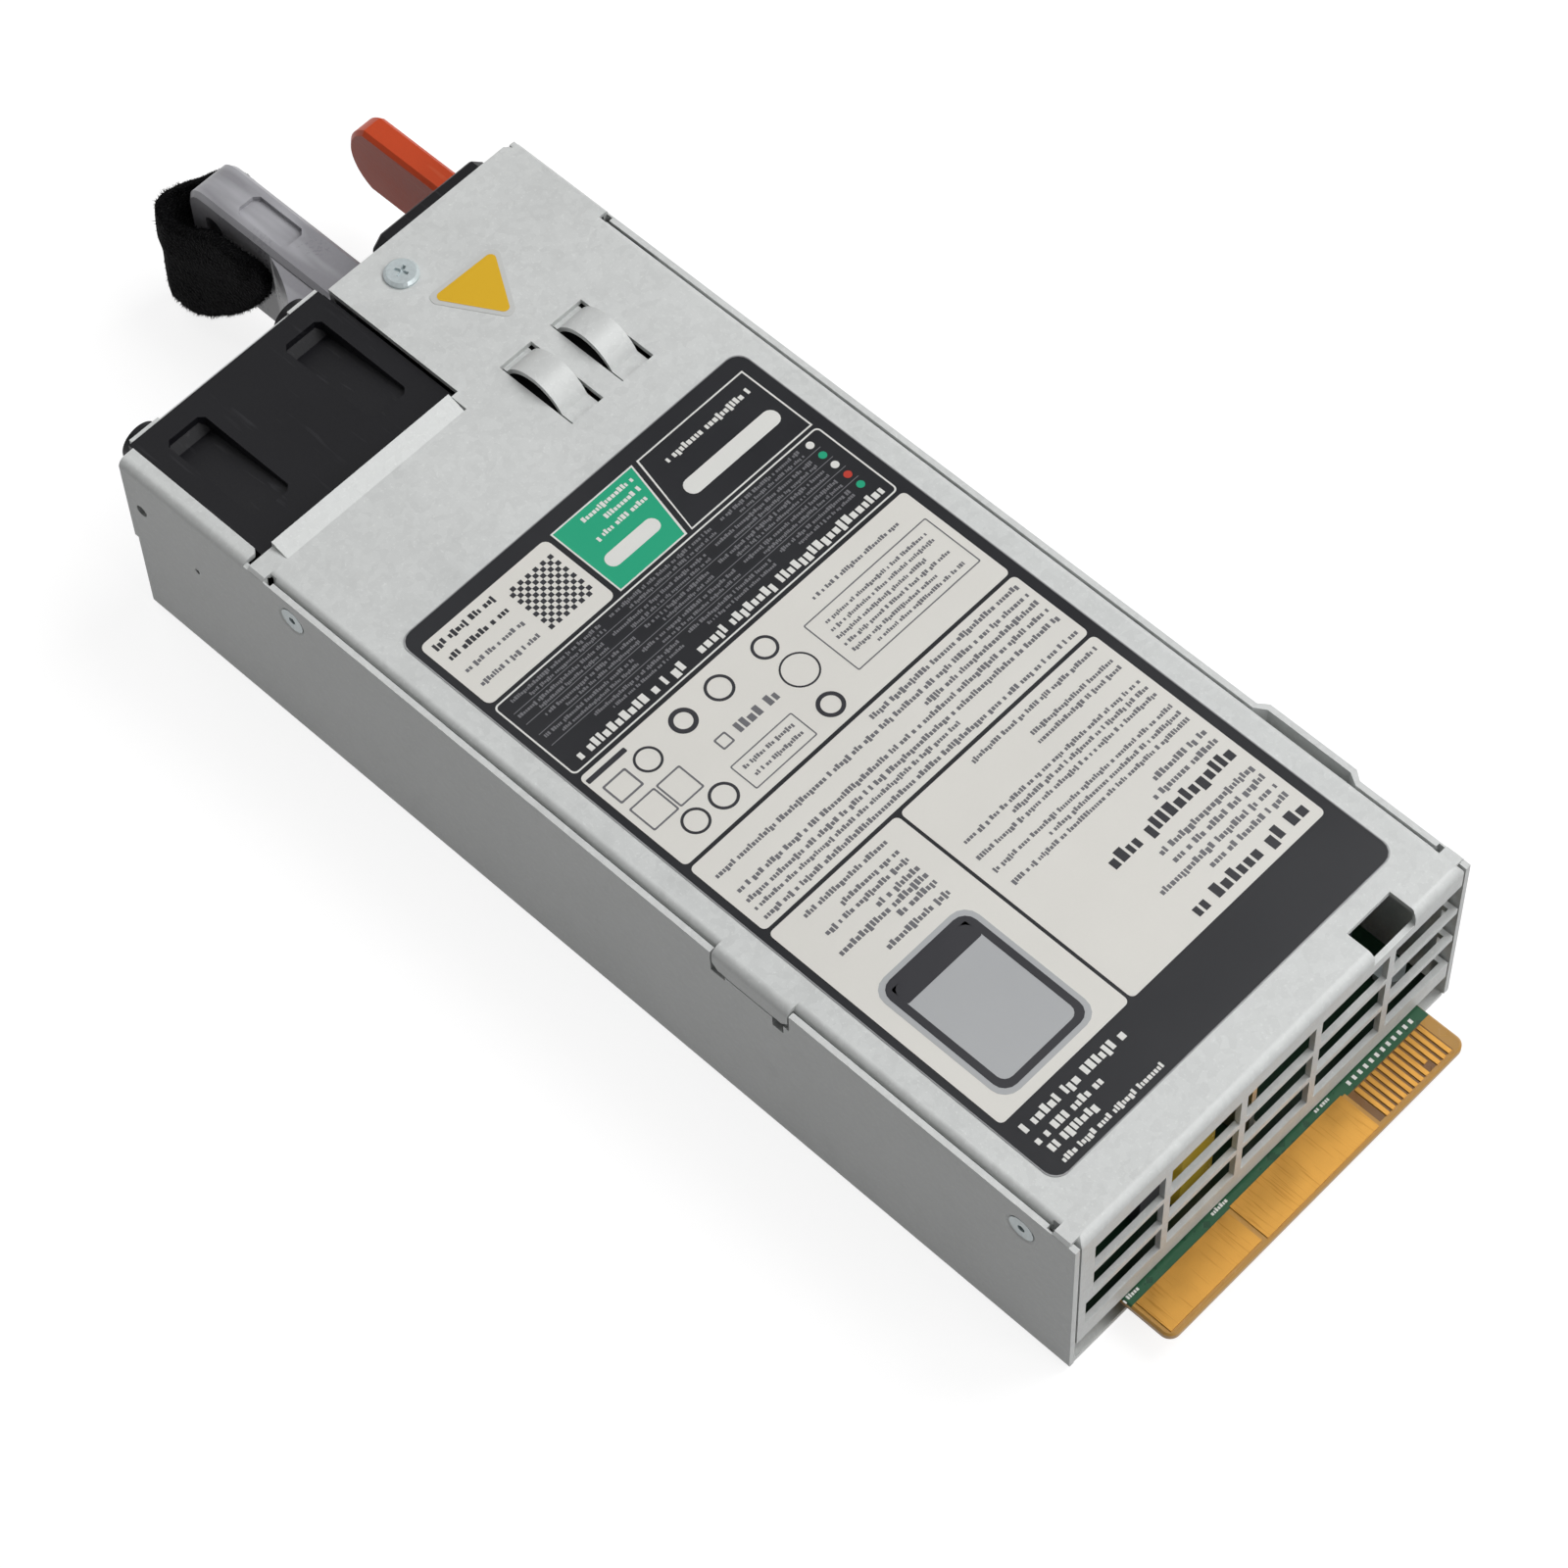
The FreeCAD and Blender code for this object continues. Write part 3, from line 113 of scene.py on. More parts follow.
def noiseNode(tree, vector, scale, detail=3.0, roughness=0.55):
    node = addNode(tree, "ShaderNodeTexNoise")
    feedAll(tree, node, {"Vector": vector, "Scale": scale, "Detail": detail, "Roughness": roughness})
    return node.outputs["Fac"]


def rampNode(tree, value, low, high):
    # straight rise from 0 at low to 1 at high
    node = addNode(tree, "ShaderNodeMapRange", clamp=True)
    feedAll(tree, node, {"Value": value, "From Min": low, "From Max": high})
    return node.outputs["Result"]


def mixTone(tree, factor, a, b):
    node = addNode(tree, "ShaderNodeMix", data_type="RGBA")
    feed(tree, node.inputs[0], factor)
    feed(tree, node.inputs[6], a)
    feed(tree, node.inputs[7], b)
    return node.outputs[2]


def shaded(tree, colour, value):
    # the same hue and saturation, its brightness times the value
    node = addNode(tree, "ShaderNodeHueSaturation")
    feedAll(tree, node, {"Color": colour, "Value": value})
    return node.outputs["Color"]


def newGroup(name, inputs, outputs):
    group = bpy.data.node_groups.new(name, "ShaderNodeTree")
    for label, kind, value in inputs:
        socket = group.interface.new_socket(label, in_out="INPUT", socket_type=kind)
        socket.default_value = value
    for label, kind in outputs:
        group.interface.new_socket(label, in_out="OUTPUT", socket_type=kind)
    return group, addNode(group, "NodeGroupInput"), addNode(group, "NodeGroupOutput")


def placeGroup(tree, group, **values):
    node = addNode(tree, "ShaderNodeGroup", node_tree=group)
    feedNamed(tree, node, values)
    return node


floatKind = "NodeSocketFloat"
colourKind = "NodeSocketColor"


# effects that several materials share
grainMix = {"cloudDetail": 4.0, "grainDetail": 2.0, "cloudShare": 0.7, "grainShare": 0.3}


def makeGrain(mix):
    # moulded or drawn surface: slow clouds of tone, fine grain in height and roughness
    group, inside, outside = newGroup("surfaceGrain", [
        ("Tone", colourKind, (0.5, 0.5, 0.5, 1)), ("Cloud Scale", floatKind, 60.0),
        ("Grain Scale", floatKind, 2500.0), ("Spread", floatKind, 0.1),
        ("Rough", floatKind, 0.5), ("Rough Spread", floatKind, 0.15)],
        [("Colour", colourKind), ("Roughness", floatKind), ("Height", floatKind)])
    where = placeOf(group)
    cloud = noiseNode(group, where, inside.outputs["Cloud Scale"], mix["cloudDetail"])
    grain = noiseNode(group, where, inside.outputs["Grain Scale"], mix["grainDetail"])
    both = plus(group, times(group, cloud, mix["cloudShare"]), times(group, grain, mix["grainShare"]))
    swing = mathNode(group, "SUBTRACT", both, 0.5)
    value = plus(group, times(group, swing, inside.outputs["Spread"]), 1.0)
    rough = plus(group, inside.outputs["Rough"], times(group, swing, inside.outputs["Rough Spread"]), True)
    colour = shaded(group, inside.outputs["Tone"], value)
    feedAll(group, outside, {"Colour": colour, "Roughness": rough, "Height": grain})
    return group


spangleMix = {"warpScale": 300.0, "warpReach": 0.003, "cloudScale": 38.0, "cloudDetail": 5.0,
              "fleckBand": (0.58, 0.74), "fleckHeight": 0.5, "handledScale": 95.0,
              "handledBand": (0.56, 0.78), "handledDrop": 0.07, "cellShare": 0.55, "cloudShare": 1.3,
              "roughSwing": 0.16, "roughFleck": 0.12}


def makeSpangle(mix):
    # zinc coat: crystal cells of slightly different tone, pale flecks and darker handling marks
    group, inside, outside = newGroup("zincSpangle", [
        ("Tone", colourKind, (0.6, 0.6, 0.6, 1)), ("Cell Scale", floatKind, 420.0),
        ("Fleck Scale", floatKind, 1500.0), ("Spread", floatKind, 0.12),
        ("Rough", floatKind, 0.4), ("Fleck", floatKind, 0.2)],
        [("Colour", colourKind), ("Roughness", floatKind), ("Height", floatKind)])
    where = placeOf(group)
    warp = addNode(group, "ShaderNodeTexNoise")
    feedAll(group, warp, {"Vector": where, "Scale": mix["warpScale"]})
    bend = addNode(group, "ShaderNodeVectorMath", operation="MULTIPLY_ADD")
    feed(group, bend.inputs[0], warp.outputs["Color"])
    bend.inputs[1].default_value = (mix["warpReach"],) * 3
    feed(group, bend.inputs[2], where)
    cells = addNode(group, "ShaderNodeTexVoronoi", feature="F1")
    feedAll(group, cells, {"Vector": bend.outputs[0], "Scale": inside.outputs["Cell Scale"]})
    split = addNode(group, "ShaderNodeSeparateColor")
    feed(group, split.inputs[0], cells.outputs["Color"])
    cloud = noiseNode(group, where, mix["cloudScale"], mix["cloudDetail"])
    fleck = rampNode(group, noiseNode(group, where, inside.outputs["Fleck Scale"]), *mix["fleckBand"])
    handled = rampNode(group, noiseNode(group, where, mix["handledScale"], 6.0, 0.65), *mix["handledBand"])
    cellSwing = times(group, mathNode(group, "SUBTRACT", split.outputs[0], 0.5), mix["cellShare"])
    cloudSwing = times(group, mathNode(group, "SUBTRACT", cloud, 0.5), mix["cloudShare"])
    swing = plus(group, cellSwing, cloudSwing)
    value = plus(group, times(group, swing, inside.outputs["Spread"]), 1.0)
    value = plus(group, value, times(group, fleck, inside.outputs["Fleck"]))
    value = mathNode(group, "SUBTRACT", value, times(group, handled, mix["handledDrop"]))
    rough = plus(group, inside.outputs["Rough"], times(group, swing, mix["roughSwing"]), True)
    rough = plus(group, rough, times(group, fleck, mix["roughFleck"]), True)
    colour = shaded(group, inside.outputs["Tone"], value)
    height = plus(group, times(group, fleck, mix["fleckHeight"]), cloud)
    feedAll(group, outside, {"Colour": colour, "Roughness": rough, "Height": height})
    return group


def makeStreaks():
    # fine scratches or drawn lines: noise stretched along one axis, thresholded
    group, inside, outside = newGroup("drawnStreaks", [
        ("Across X", floatKind, 3000.0), ("Across Y", floatKind, 60.0), ("Across Z", floatKind, 3000.0),
        ("Low", floatKind, 0.55), ("High", floatKind, 0.7)], [("Mask", floatKind)])
    where = placeOf(group)
    spread = addNode(group, "ShaderNodeCombineXYZ")
    for socket, label in zip(spread.inputs, ("Across X", "Across Y", "Across Z")):
        feed(group, socket, inside.outputs[label])
    scaled = addNode(group, "ShaderNodeVectorMath", operation="MULTIPLY")
    feed(group, scaled.inputs[0], where)
    feed(group, scaled.inputs[1], spread.outputs[0])
    lines = noiseNode(group, scaled.outputs[0], 1.0, 2.0)
    mask = rampNode(group, lines, inside.outputs["Low"], inside.outputs["High"])
    feed(group, outside.inputs["Mask"], mask)
    return group


grainGroup = makeGrain(grainMix)
spangleGroup = makeSpangle(spangleMix)
streakGroup = makeStreaks()


def streakMask(tree, across, band):
    values = dict(zip(("AcrossX", "AcrossY", "AcrossZ", "Low", "High"), across + band))
    return placeGroup(tree, streakGroup, **values).outputs["Mask"]


# materials
def startMaterial(name):
    material = bpy.data.materials.new(name)
    material.use_nodes = True
    tree = material.node_tree
    return material, tree, tree.nodes["Principled BSDF"]


def cover(tree, shader, colour, effect, **sockets):
    feedNamed(tree, shader, {"BaseColor": colour, "Roughness": effect.outputs["Roughness"], **sockets})


def bumpFrom(tree, shader, height, strength, depth):
    bump = addNode(tree, "ShaderNodeBump")
    feedAll(tree, bump, {"Strength": strength, "Distance": depth, "Height": height})
    feed(tree, shader.inputs["Normal"], bump.outputs["Normal"])


def mouldedFinish(name, colour, rough=0.5, cloud=60.0, grain=2500.0, spread=0.16, roughSpread=0.2,
                  bump=0.25, depth=0.00008, scratch=0.0, scratchTone=None, **sockets):
    # plain body colour with clouded tone, fine grain and, if asked, pale handling scratches
    material, tree, shader = startMaterial(name)
    node = placeGroup(tree, grainGroup, Tone=colour, CloudScale=cloud, GrainScale=grain, Spread=spread,
                      Rough=rough, RoughSpread=roughSpread)
    colourOut = node.outputs["Colour"]
    if scratch:
        streaks = streakMask(tree, (900.0, 70.0, 900.0), (0.62, 0.72))
        colourOut = mixTone(tree, times(tree, streaks, scratch), colourOut, scratchTone)
    cover(tree, shader, colourOut, node, **sockets)
    bumpFrom(tree, shader, node.outputs["Height"], bump, depth)
    return material


zincLook = {"tone": tone(214, 216, 215), "cells": 900.0, "flecks": 1900.0, "spread": 0.13, "rough": 0.5,
            "fleck": 0.13, "fadedTone": tone(232, 233, 232), "faded": 0.12, "bump": 0.12, "depth": 0.0002,
            "sockets": {"Metallic": 0.13, "SpecularIORLevel": 0.35}}


def zincFinish(name, look):
    # galvanised sheet, its spangle crossed by a few pale lines from the rolling
    material, tree, shader = startMaterial(name)
    node = placeGroup(tree, spangleGroup, Tone=look["tone"], CellScale=look["cells"],
                      FleckScale=look["flecks"], Spread=look["spread"], Rough=look["rough"],
                      Fleck=look["fleck"])
    faded = times(tree, streakMask(tree, (2200.0, 45.0, 2200.0), (0.6, 0.75)), look["faded"])
    paled = mixTone(tree, faded, node.outputs["Colour"], look["fadedTone"])
    cover(tree, shader, paled, node, **look["sockets"])
    bumpFrom(tree, shader, node.outputs["Height"], look["bump"], look["depth"])
    return material


goldLook = {"tone": tone(200, 148, 70), "worn": tone(172, 120, 50), "wear": 0.55, "bump": 0.2,
            "depth": 0.00004, "sockets": {"Metallic": 0.85}}


def goldFinish(name, look):
    # plated contact with wipe marks along the way it is pushed in
    material, tree, shader = startMaterial(name)
    node = placeGroup(tree, grainGroup, Tone=look["tone"], CloudScale=260.0, GrainScale=5000.0, Spread=0.35,
                      Rough=0.36, RoughSpread=0.3)
    wipes = streakMask(tree, (2600.0, 120.0, 10.0), (0.56, 0.7))
    worn = times(tree, wipes, look["wear"])
    wiped = mixTone(tree, worn, node.outputs["Colour"], look["worn"])
    cover(tree, shader, wiped, node, **look["sockets"])
    bumpFrom(tree, shader, wipes, look["bump"], look["depth"])
    return material


boardLook = {"mask": tone(17, 70, 44), "trace": tone(34, 96, 62), "traceShare": 0.6, "traceScale": 420.0,
             "traceBand": (0.42, 0.5), "edge": tone(186, 138, 60), "gap": tone(122, 82, 34),
             # inner tone at its share: painted shade on the board inside the case
             "inner": tone(14, 34, 22), "innerShare": 0.85, "bump": 0.3, "depth": 0.00005,
             # metres: face layer, then where the tongue's mask, fingers and the painted shade on the part
             # inside the case end
             "faceBand": 0.0003, "maskEnd": 0.1009, "fingerMaskEnd": 0.1014, "fingerSide": -0.0163,
             "fingerFar": -0.0331, "fingerEnd": 0.1078, "innerEnd": 0.0972}


def tongueTone(tree, look, x, y, face):
    # painted shade where the board lies inside the case, bare laminate past the mask, darker between the
    # narrow contacts
    inside = mathNode(tree, "LESS_THAN", y, look["innerEnd"])
    face = mixTone(tree, times(tree, inside, look["innerShare"]), face, look["inner"])
    fingers = mathNode(tree, "LESS_THAN", x, look["fingerSide"])
    end = plus(tree, times(tree, fingers, look["fingerMaskEnd"] - look["maskEnd"]), look["maskEnd"])
    bare = mathNode(tree, "GREATER_THAN", y, end)
    between = times(tree, fingers, mathNode(tree, "LESS_THAN", y, look["fingerEnd"]))
    between = times(tree, between, mathNode(tree, "GREATER_THAN", x, look["fingerFar"]))
    return mixTone(tree, bare, face, mixTone(tree, between, look["edge"], look["gap"]))


def boardFinish(name, look, thickAxis, low, high, tongue=False):
    # solder mask with raised traces on the two faces, bare laminate on the cut edges
    material, tree, shader = startMaterial(name)
    where = placeOf(tree)
    axes = axesOf(tree, where)
    along = axes[thickAxis]
    above = mathNode(tree, "GREATER_THAN", along, high - look["faceBand"])
    below = mathNode(tree, "LESS_THAN", along, low + look["faceBand"])
    onFace = plus(tree, above, below, True)
    bricks = addNode(tree, "ShaderNodeTexVoronoi", feature="F1", distance="MANHATTAN")
    feedAll(tree, bricks, {"Vector": where, "Scale": look["traceScale"]})
    traces = rampNode(tree, bricks.outputs["Distance"], *look["traceBand"])
    node = placeGroup(tree, grainGroup, Tone=look["mask"], CloudScale=120.0, GrainScale=4000.0, Spread=0.3,
                      Rough=0.35, RoughSpread=0.2)
    face = mixTone(tree, times(tree, traces, look["traceShare"]), node.outputs["Colour"], look["trace"])
    if tongue:
        face = tongueTone(tree, look, axes["X"], axes["Y"], face)
    cover(tree, shader, mixTone(tree, onFace, look["edge"], face), node)
    bumpFrom(tree, shader, traces, look["bump"], look["depth"])
    return material


pileLook = {"tone": tone(9, 9, 11), "lint": tone(34, 34, 38), "lintShare": 0.5, "lintBand": (0.62, 0.72),
            "loops": 2600.0, "bump": 0.9, "depth": 0.0004,
            "sockets": {"SheenWeight": 0.06, "SheenRoughness": 0.5, "SpecularIORLevel": 0.08}}


def pileFinish(name, look):
    # looped pile: dense curly noise in height, darker between the loops, a little lint
    material, tree, shader = startMaterial(name)
    where = placeOf(tree)
    loops = addNode(tree, "ShaderNodeTexVoronoi", feature="SMOOTH_F1")
    feedAll(tree, loops, {"Vector": where, "Scale": look["loops"]})
    node = placeGroup(tree, grainGroup, Tone=look["tone"], CloudScale=300.0, GrainScale=3500.0, Spread=0.9,
                      Rough=0.92, RoughSpread=0.1)
    lint = rampNode(tree, noiseNode(tree, where, 900.0, 6.0, 0.7), *look["lintBand"])
    linted = mixTone(tree, times(tree, lint, look["lintShare"]), node.outputs["Colour"], look["lint"])
    cover(tree, shader, linted, node, **look["sockets"])
    bumpFrom(tree, shader, loops.outputs["Distance"], look["bump"], look["depth"])
    return material


def printFinish(name):
    # printed film: each patch has its own tone in the mesh, with a faint halftone and wear
    material, tree, shader = startMaterial(name)
    ink = addNode(tree, "ShaderNodeAttribute", attribute_name="inkTone", attribute_type="GEOMETRY")
    node = placeGroup(tree, grainGroup, Tone=ink.outputs["Color"], CloudScale=45.0, GrainScale=3200.0,
                      Spread=0.1, Rough=0.34, RoughSpread=0.25)
    cover(tree, shader, node.outputs["Colour"], node)
    bumpFrom(tree, shader, node.outputs["Height"], strength=0.15, depth=0.00005)
    return material


def windingFinish(name, colour, gap, axis, pitch):
    # round wires side by side: a sine ridge across the wires, with painted shade in the valleys between them
    material, tree, shader = startMaterial(name)
    phase = times(tree, axesOf(tree, placeOf(tree))[axis], 2 * math.pi / pitch)
    ridge = plus(tree, times(tree, mathNode(tree, "SINE", phase), 0.5), 0.5)
    node = placeGroup(tree, grainGroup, Tone=colour, CloudScale=200.0, GrainScale=3000.0, Spread=0.3,
                      Rough=0.32, RoughSpread=0.2)
    # the gap tone in the valleys is painted shade
    wires = mixTone(tree, rampNode(tree, ridge, 0.0, 0.45), gap, node.outputs["Colour"])
    cover(tree, shader, wires, node, Metallic=0.6)
    bumpFrom(tree, shader, ridge, strength=0.8, depth=0.0003)
    return material


def drawnMetal(name, colour, rough, metallic, *across):
    # extruded or ground metal: long faint lines in tone and height
    material, tree, shader = startMaterial(name)
    node = placeGroup(tree, grainGroup, Tone=colour, CloudScale=90.0, GrainScale=3000.0, Spread=0.15,
                      Rough=rough, RoughSpread=0.25)
    lines = streakMask(tree, across, (0.35, 0.75))
    darker = tuple(c * 0.72 for c in colour[:3]) + (1.0,)
    lined = mixTone(tree, times(tree, lines, 0.5), node.outputs["Colour"], darker)
    cover(tree, shader, lined, node, Metallic=metallic)
    bumpFrom(tree, shader, lines, strength=0.25, depth=0.00004)
    return material


def cloudedFinish(name, colour, pale):
    # clouded clear moulding, frosted by handling, with soft pale flow lines along the arm
    material, tree, shader = startMaterial(name)
    node = placeGroup(tree, grainGroup, Tone=colour, CloudScale=70.0, GrainScale=1800.0, Spread=0.35,
                      Rough=0.3, RoughSpread=0.25)
    flow = streakMask(tree, (260.0, 45.0, 160.0), (0.45, 0.7))
    lined = mixTone(tree, times(tree, flow, 0.75), node.outputs["Colour"], pale)
    cover(tree, shader, lined, node, IOR=1.46)
    bumpFrom(tree, shader, node.outputs["Height"], strength=0.15, depth=0.0001)
    return material


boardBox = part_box("main_board")
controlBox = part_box("control_board")
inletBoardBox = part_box("inlet_board")

slotFinish = {
    "galvanised_sheet": zincFinish("galvanisedSheet", zincLook),
    "zinc_plated": drawnMetal("zincPlated", tone(208, 218, 220), 0.34, 0.3, 1500.0, 1500.0, 200.0),
    "steel": drawnMetal("groundSteel", tone(190, 190, 192), 0.3, 0.95, 200.0, 3000.0, 3000.0),
    "black_moulding": mouldedFinish("blackMoulding", tone(21, 21, 25), rough=0.46, cloud=70.0, grain=1700.0,
                                    spread=0.5, bump=0.3, scratch=0.05, scratchTone=tone(130, 130, 135),
                                    SpecularIORLevel=0.25),
    # the second tone of each winding is the painted shade between its wires
    "stator_copper": windingFinish("statorWire", tone(190, 110, 66), tone(60, 28, 14), "Y", 0.0006),
    "contact_blades": drawnMetal("nickelBlade", tone(206, 200, 186), 0.28, 0.95, 2500.0, 60.0, 2500.0),
    "clear_handle": cloudedFinish("clearHandle", tone(150, 149, 154), tone(190, 190, 195)),
    "strap_fabric": pileFinish("strapPile", pileLook),
    "status_light": mouldedFinish("statusLight", tone(222, 232, 222), rough=0.15, spread=0.08, bump=0.05),
    "release_orange": mouldedFinish("releaseOrange", tone(208, 74, 32), rough=0.45, cloud=90.0, grain=1500.0,
                                    spread=0.22, bump=0.4, scratch=0.1, scratchTone=tone(236, 150, 110),
                                    SpecularIORLevel=0.3),
    "board_green": boardFinish("mainBoardMask", boardLook, "Z", boardBox[0].z, boardBox[1].z, True),
    "gold_contact": goldFinish("goldContact", goldLook),
    "package_black": mouldedFinish("packageBlack", tone(38, 38, 40), rough=0.55, grain=3500.0, bump=0.4),
    "can_sleeve": mouldedFinish("canSleeve", tone(52, 54, 66), rough=0.3, cloud=120.0, spread=0.4, bump=0.1),
    "ferrite": mouldedFinish("ferrite", tone(70, 70, 74), rough=0.6, grain=3000.0, spread=0.5, bump=0.6),
    # its second tone is the painted shade between the wires
    "copper_winding": windingFinish("copperWinding", tone(196, 112, 60), tone(66, 30, 12), "Y", 0.0009),
    "winding_tape": mouldedFinish("windingTape", tone(206, 178, 56), rough=0.25, cloud=140.0, spread=0.35,
                                  bump=0.2),
    "moulded_base": mouldedFinish("mouldedBase", tone(56, 56, 60), rough=0.5),
    "box_capacitor": mouldedFinish("boxCapacitor", tone(196, 160, 60), rough=0.4, spread=0.2),
    "ceramic_disc": mouldedFinish("ceramicDisc", tone(66, 104, 156), rough=0.3, spread=0.2),
    "fuse_body": mouldedFinish("fuseBody", tone(222, 220, 210), rough=0.3, spread=0.1),
    "relay_case": mouldedFinish("relayCase", tone(212, 212, 206), rough=0.35, spread=0.12),
    "heatsink_metal": drawnMetal("heatsinkMetal", tone(186, 188, 190), 0.38, 0.9, 20.0, 20.0, 3000.0),
    "tinned_copper": drawnMetal("tinnedCopper", tone(204, 200, 190), 0.35, 0.9, 2000.0, 100.0, 2000.0),
    "film_sheet": mouldedFinish("filmSheet", tone(206, 204, 192), rough=0.3, spread=0.1),
    "label_film": mouldedFinish("labelBacking", tone(176, 177, 178), rough=0.22, spread=0.1, bump=0.05,
                                Metallic=0.3),
    "marker_yellow": mouldedFinish("markerYellow", tone(236, 196, 44), rough=0.3, cloud=150.0, spread=0.12,
                                   bump=0.1),
}
controlFinish = boardFinish("controlBoardMask", boardLook, "Y", controlBox[0].y, controlBox[1].y)
inletFinish = boardFinish("inletBoardMask", boardLook, "Y", inletBoardBox[0].y, inletBoardBox[1].y)
nodeFinish = {"control_board": controlFinish, "inlet_board": inletFinish, "led_board": inletFinish}

for part in frame["record"]["subparts"]:
    node = frame["nodes"][part["node"]]
    node.data.materials.clear()
    node.data.materials.append(nodeFinish.get(part["node"], slotFinish[part["material_slot"]]))
print("materials placed", len(slotFinish))


# pieces and outlines
def placed(name, data):
    holder = bpy.data.objects.new(name, data)
    bpy.context.scene.collection.objects.link(holder)
    return holder


def pieceFrom(name, points, faces, material, smooth=False):
    # points are millimetres in the part's own frame; every new piece rides on the casing
    mesh = bpy.data.meshes.new(name)
    mesh.from_pydata((np.asarray(points, float) * mm).tolist(), [], [list(map(int, f)) for f in faces])
    mesh.update()
    if smooth:
        mesh.polygons.foreach_set("use_smooth", np.ones(len(mesh.polygons), bool))
    piece = placed(name, mesh)
    mesh.materials.append(material)
    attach(piece, "casing")
    return piece


def roundedOutline(x0, x1, y0, y1, radius, steps=5):
    # quarter circles about the four corner centres, anticlockwise
    quarter = np.linspace(0, math.pi / 2, steps)
    angles = (quarter[None, :] + np.arange(4)[:, None] * math.pi / 2).ravel()
    centreX = np.repeat([x1 - radius, x0 + radius, x0 + radius, x1 - radius], steps)
    centreY = np.repeat([y1 - radius, y1 - radius, y0 + radius, y0 + radius], steps)
    return np.stack([centreX + radius * np.cos(angles), centreY + radius * np.sin(angles)], 1)


def unit(v):
    return v / np.linalg.norm(v, axis=-1, keepdims=True)


# greeked letters, in line heights: widths, gaps, and how many of them hang below or stand tall
letterShape = {"wide": (0.36, 0.66), "wordGap": 0.75, "gap": 0.2, "hanging": 0.12, "below": 0.25,
               "standing": 0.38, "tall": 1.0, "short": 0.7}

# inks of every printed piece
printInk = {"dark": tone(26, 27, 32), "pale": tone(230, 228, 222), "green": tone(26, 170, 128),
            "white": tone(232, 232, 228), "grey": tone(120, 120, 124), "text": tone(112, 112, 116),
            "bold": tone(48, 48, 53), "silver": tone(180, 182, 184), "red": tone(196, 62, 48),
            "yellow": tone(230, 182, 30), "film": tone(206, 207, 205)}


class PrintSheet:
    # collects flat printed patches, each a thin closed slab of one ink
    def __init__(self, seed=0):
        self.rng = np.random.default_rng(seed)
        self.points = []
        self.faces = []
        self.tones = []
        self.count = 0

    def take(self, points, faces, ink):
        self.points.append(points)
        self.faces.extend((np.asarray(f) + self.count).tolist() for f in faces)
        self.tones.append(np.tile(printInk[ink], (len(points), 1)))
        self.count += len(points)

    def patch(self, outline, low, high, ink):
        n = len(outline)
        ringLow = np.column_stack([outline, np.full(n, low)])
        ringHigh = np.column_stack([outline, np.full(n, high)])
        i = np.arange(n)
        j = (i + 1) % n
        sides = np.stack([i, j, j + n, i + n], 1)
        self.take(np.vstack([ringLow, ringHigh]), [i[::-1], i + n] + list(sides), ink)

    def border(self, outer, inner, low, high, ink):
        n = len(outer)
        rings = [np.column_stack([o, np.full(n, z)]) for o in (outer, inner) for z in (low, high)]
        i = np.arange(n)
        j = (i + 1) % n
        walls = [np.stack([i, j, j + n, i + n], 1), np.stack([i + n, j + n, j + 3 * n, i + 3 * n], 1),
                 np.stack([i + 3 * n, j + 3 * n, j + 2 * n, i + 2 * n], 1),
                 np.stack([i + 2 * n, j + 2 * n, j, i], 1)]
        self.take(np.vstack(rings), [f for wall in walls for f in wall], ink)

    def frame(self, x0, x1, y0, y1, corner, stroke, innerCorner, low, high, ink, steps=5):
        # a border of one width round a box with round corners
        outer = roundedOutline(x0, x1, y0, y1, corner, steps)
        inner = roundedOutline(x0 + stroke, x1 - stroke, y0 + stroke, y1 - stroke, innerCorner, steps)
        self.border(outer, inner, low, high, ink)

    def bars(self, x0, x1, y0, y1, low, high, ink):
        # many plain bars at once from arrays of their edges
        n = len(x0)
        corners = np.stack([np.stack([x0, y0], 1), np.stack([x1, y0], 1), np.stack([x1, y1], 1),
                            np.stack([x0, y1], 1)], 1)
        flat = np.concatenate([np.concatenate([corners, np.full((n, 4, 1), low)], 2),
                               np.concatenate([corners, np.full((n, 4, 1), high)], 2)], 1).reshape(-1, 3)
        box = np.array([[3, 2, 1, 0], [4, 5, 6, 7], [0, 1, 5, 4], [1, 2, 6, 5], [2, 3, 7, 6], [3, 0, 4, 7]])
        faces = (box[None] + (np.arange(n) * 8)[:, None, None]).reshape(-1, 4)
        self.take(flat, list(faces), ink)

    def words(self, x0, x1, y, tall, low, high, ink, letters=6.0):
        # one greeked line: plain blocks the size of letters, some taller, with gaps between words
        rng, shape = self.rng, letterShape
        count = int((x1 - x0) / (0.5 * tall)) + 8
        widths = rng.uniform(*shape["wide"], count) * tall
        gaps = np.where(rng.random(count) < 1 / letters, shape["wordGap"], shape["gap"]) * tall
        starts = x0 + np.concatenate([[0], np.cumsum(widths + gaps)[:-1]])
        keep = starts + widths < x1
        starts, widths = starts[keep], widths[keep]
        hanging = rng.random(len(starts)) < shape["hanging"]
        standing = rng.random(len(starts)) < shape["standing"]
        foot = y + tall / 2 + np.where(hanging, shape["below"], 0.0) * tall
        head = y + tall / 2 - np.where(standing, shape["tall"], shape["short"]) * tall
        self.bars(starts, starts + widths, head, foot, low, high, ink)

    def build(self, name, material):
        piece = pieceFrom(name, np.vstack(self.points), self.faces, material)
        attribute = piece.data.attributes.new("inkTone", "FLOAT_COLOR", "POINT")
        attribute.data.foreach_set("color", np.vstack(self.tones).astype(np.float32).ravel())
        return piece


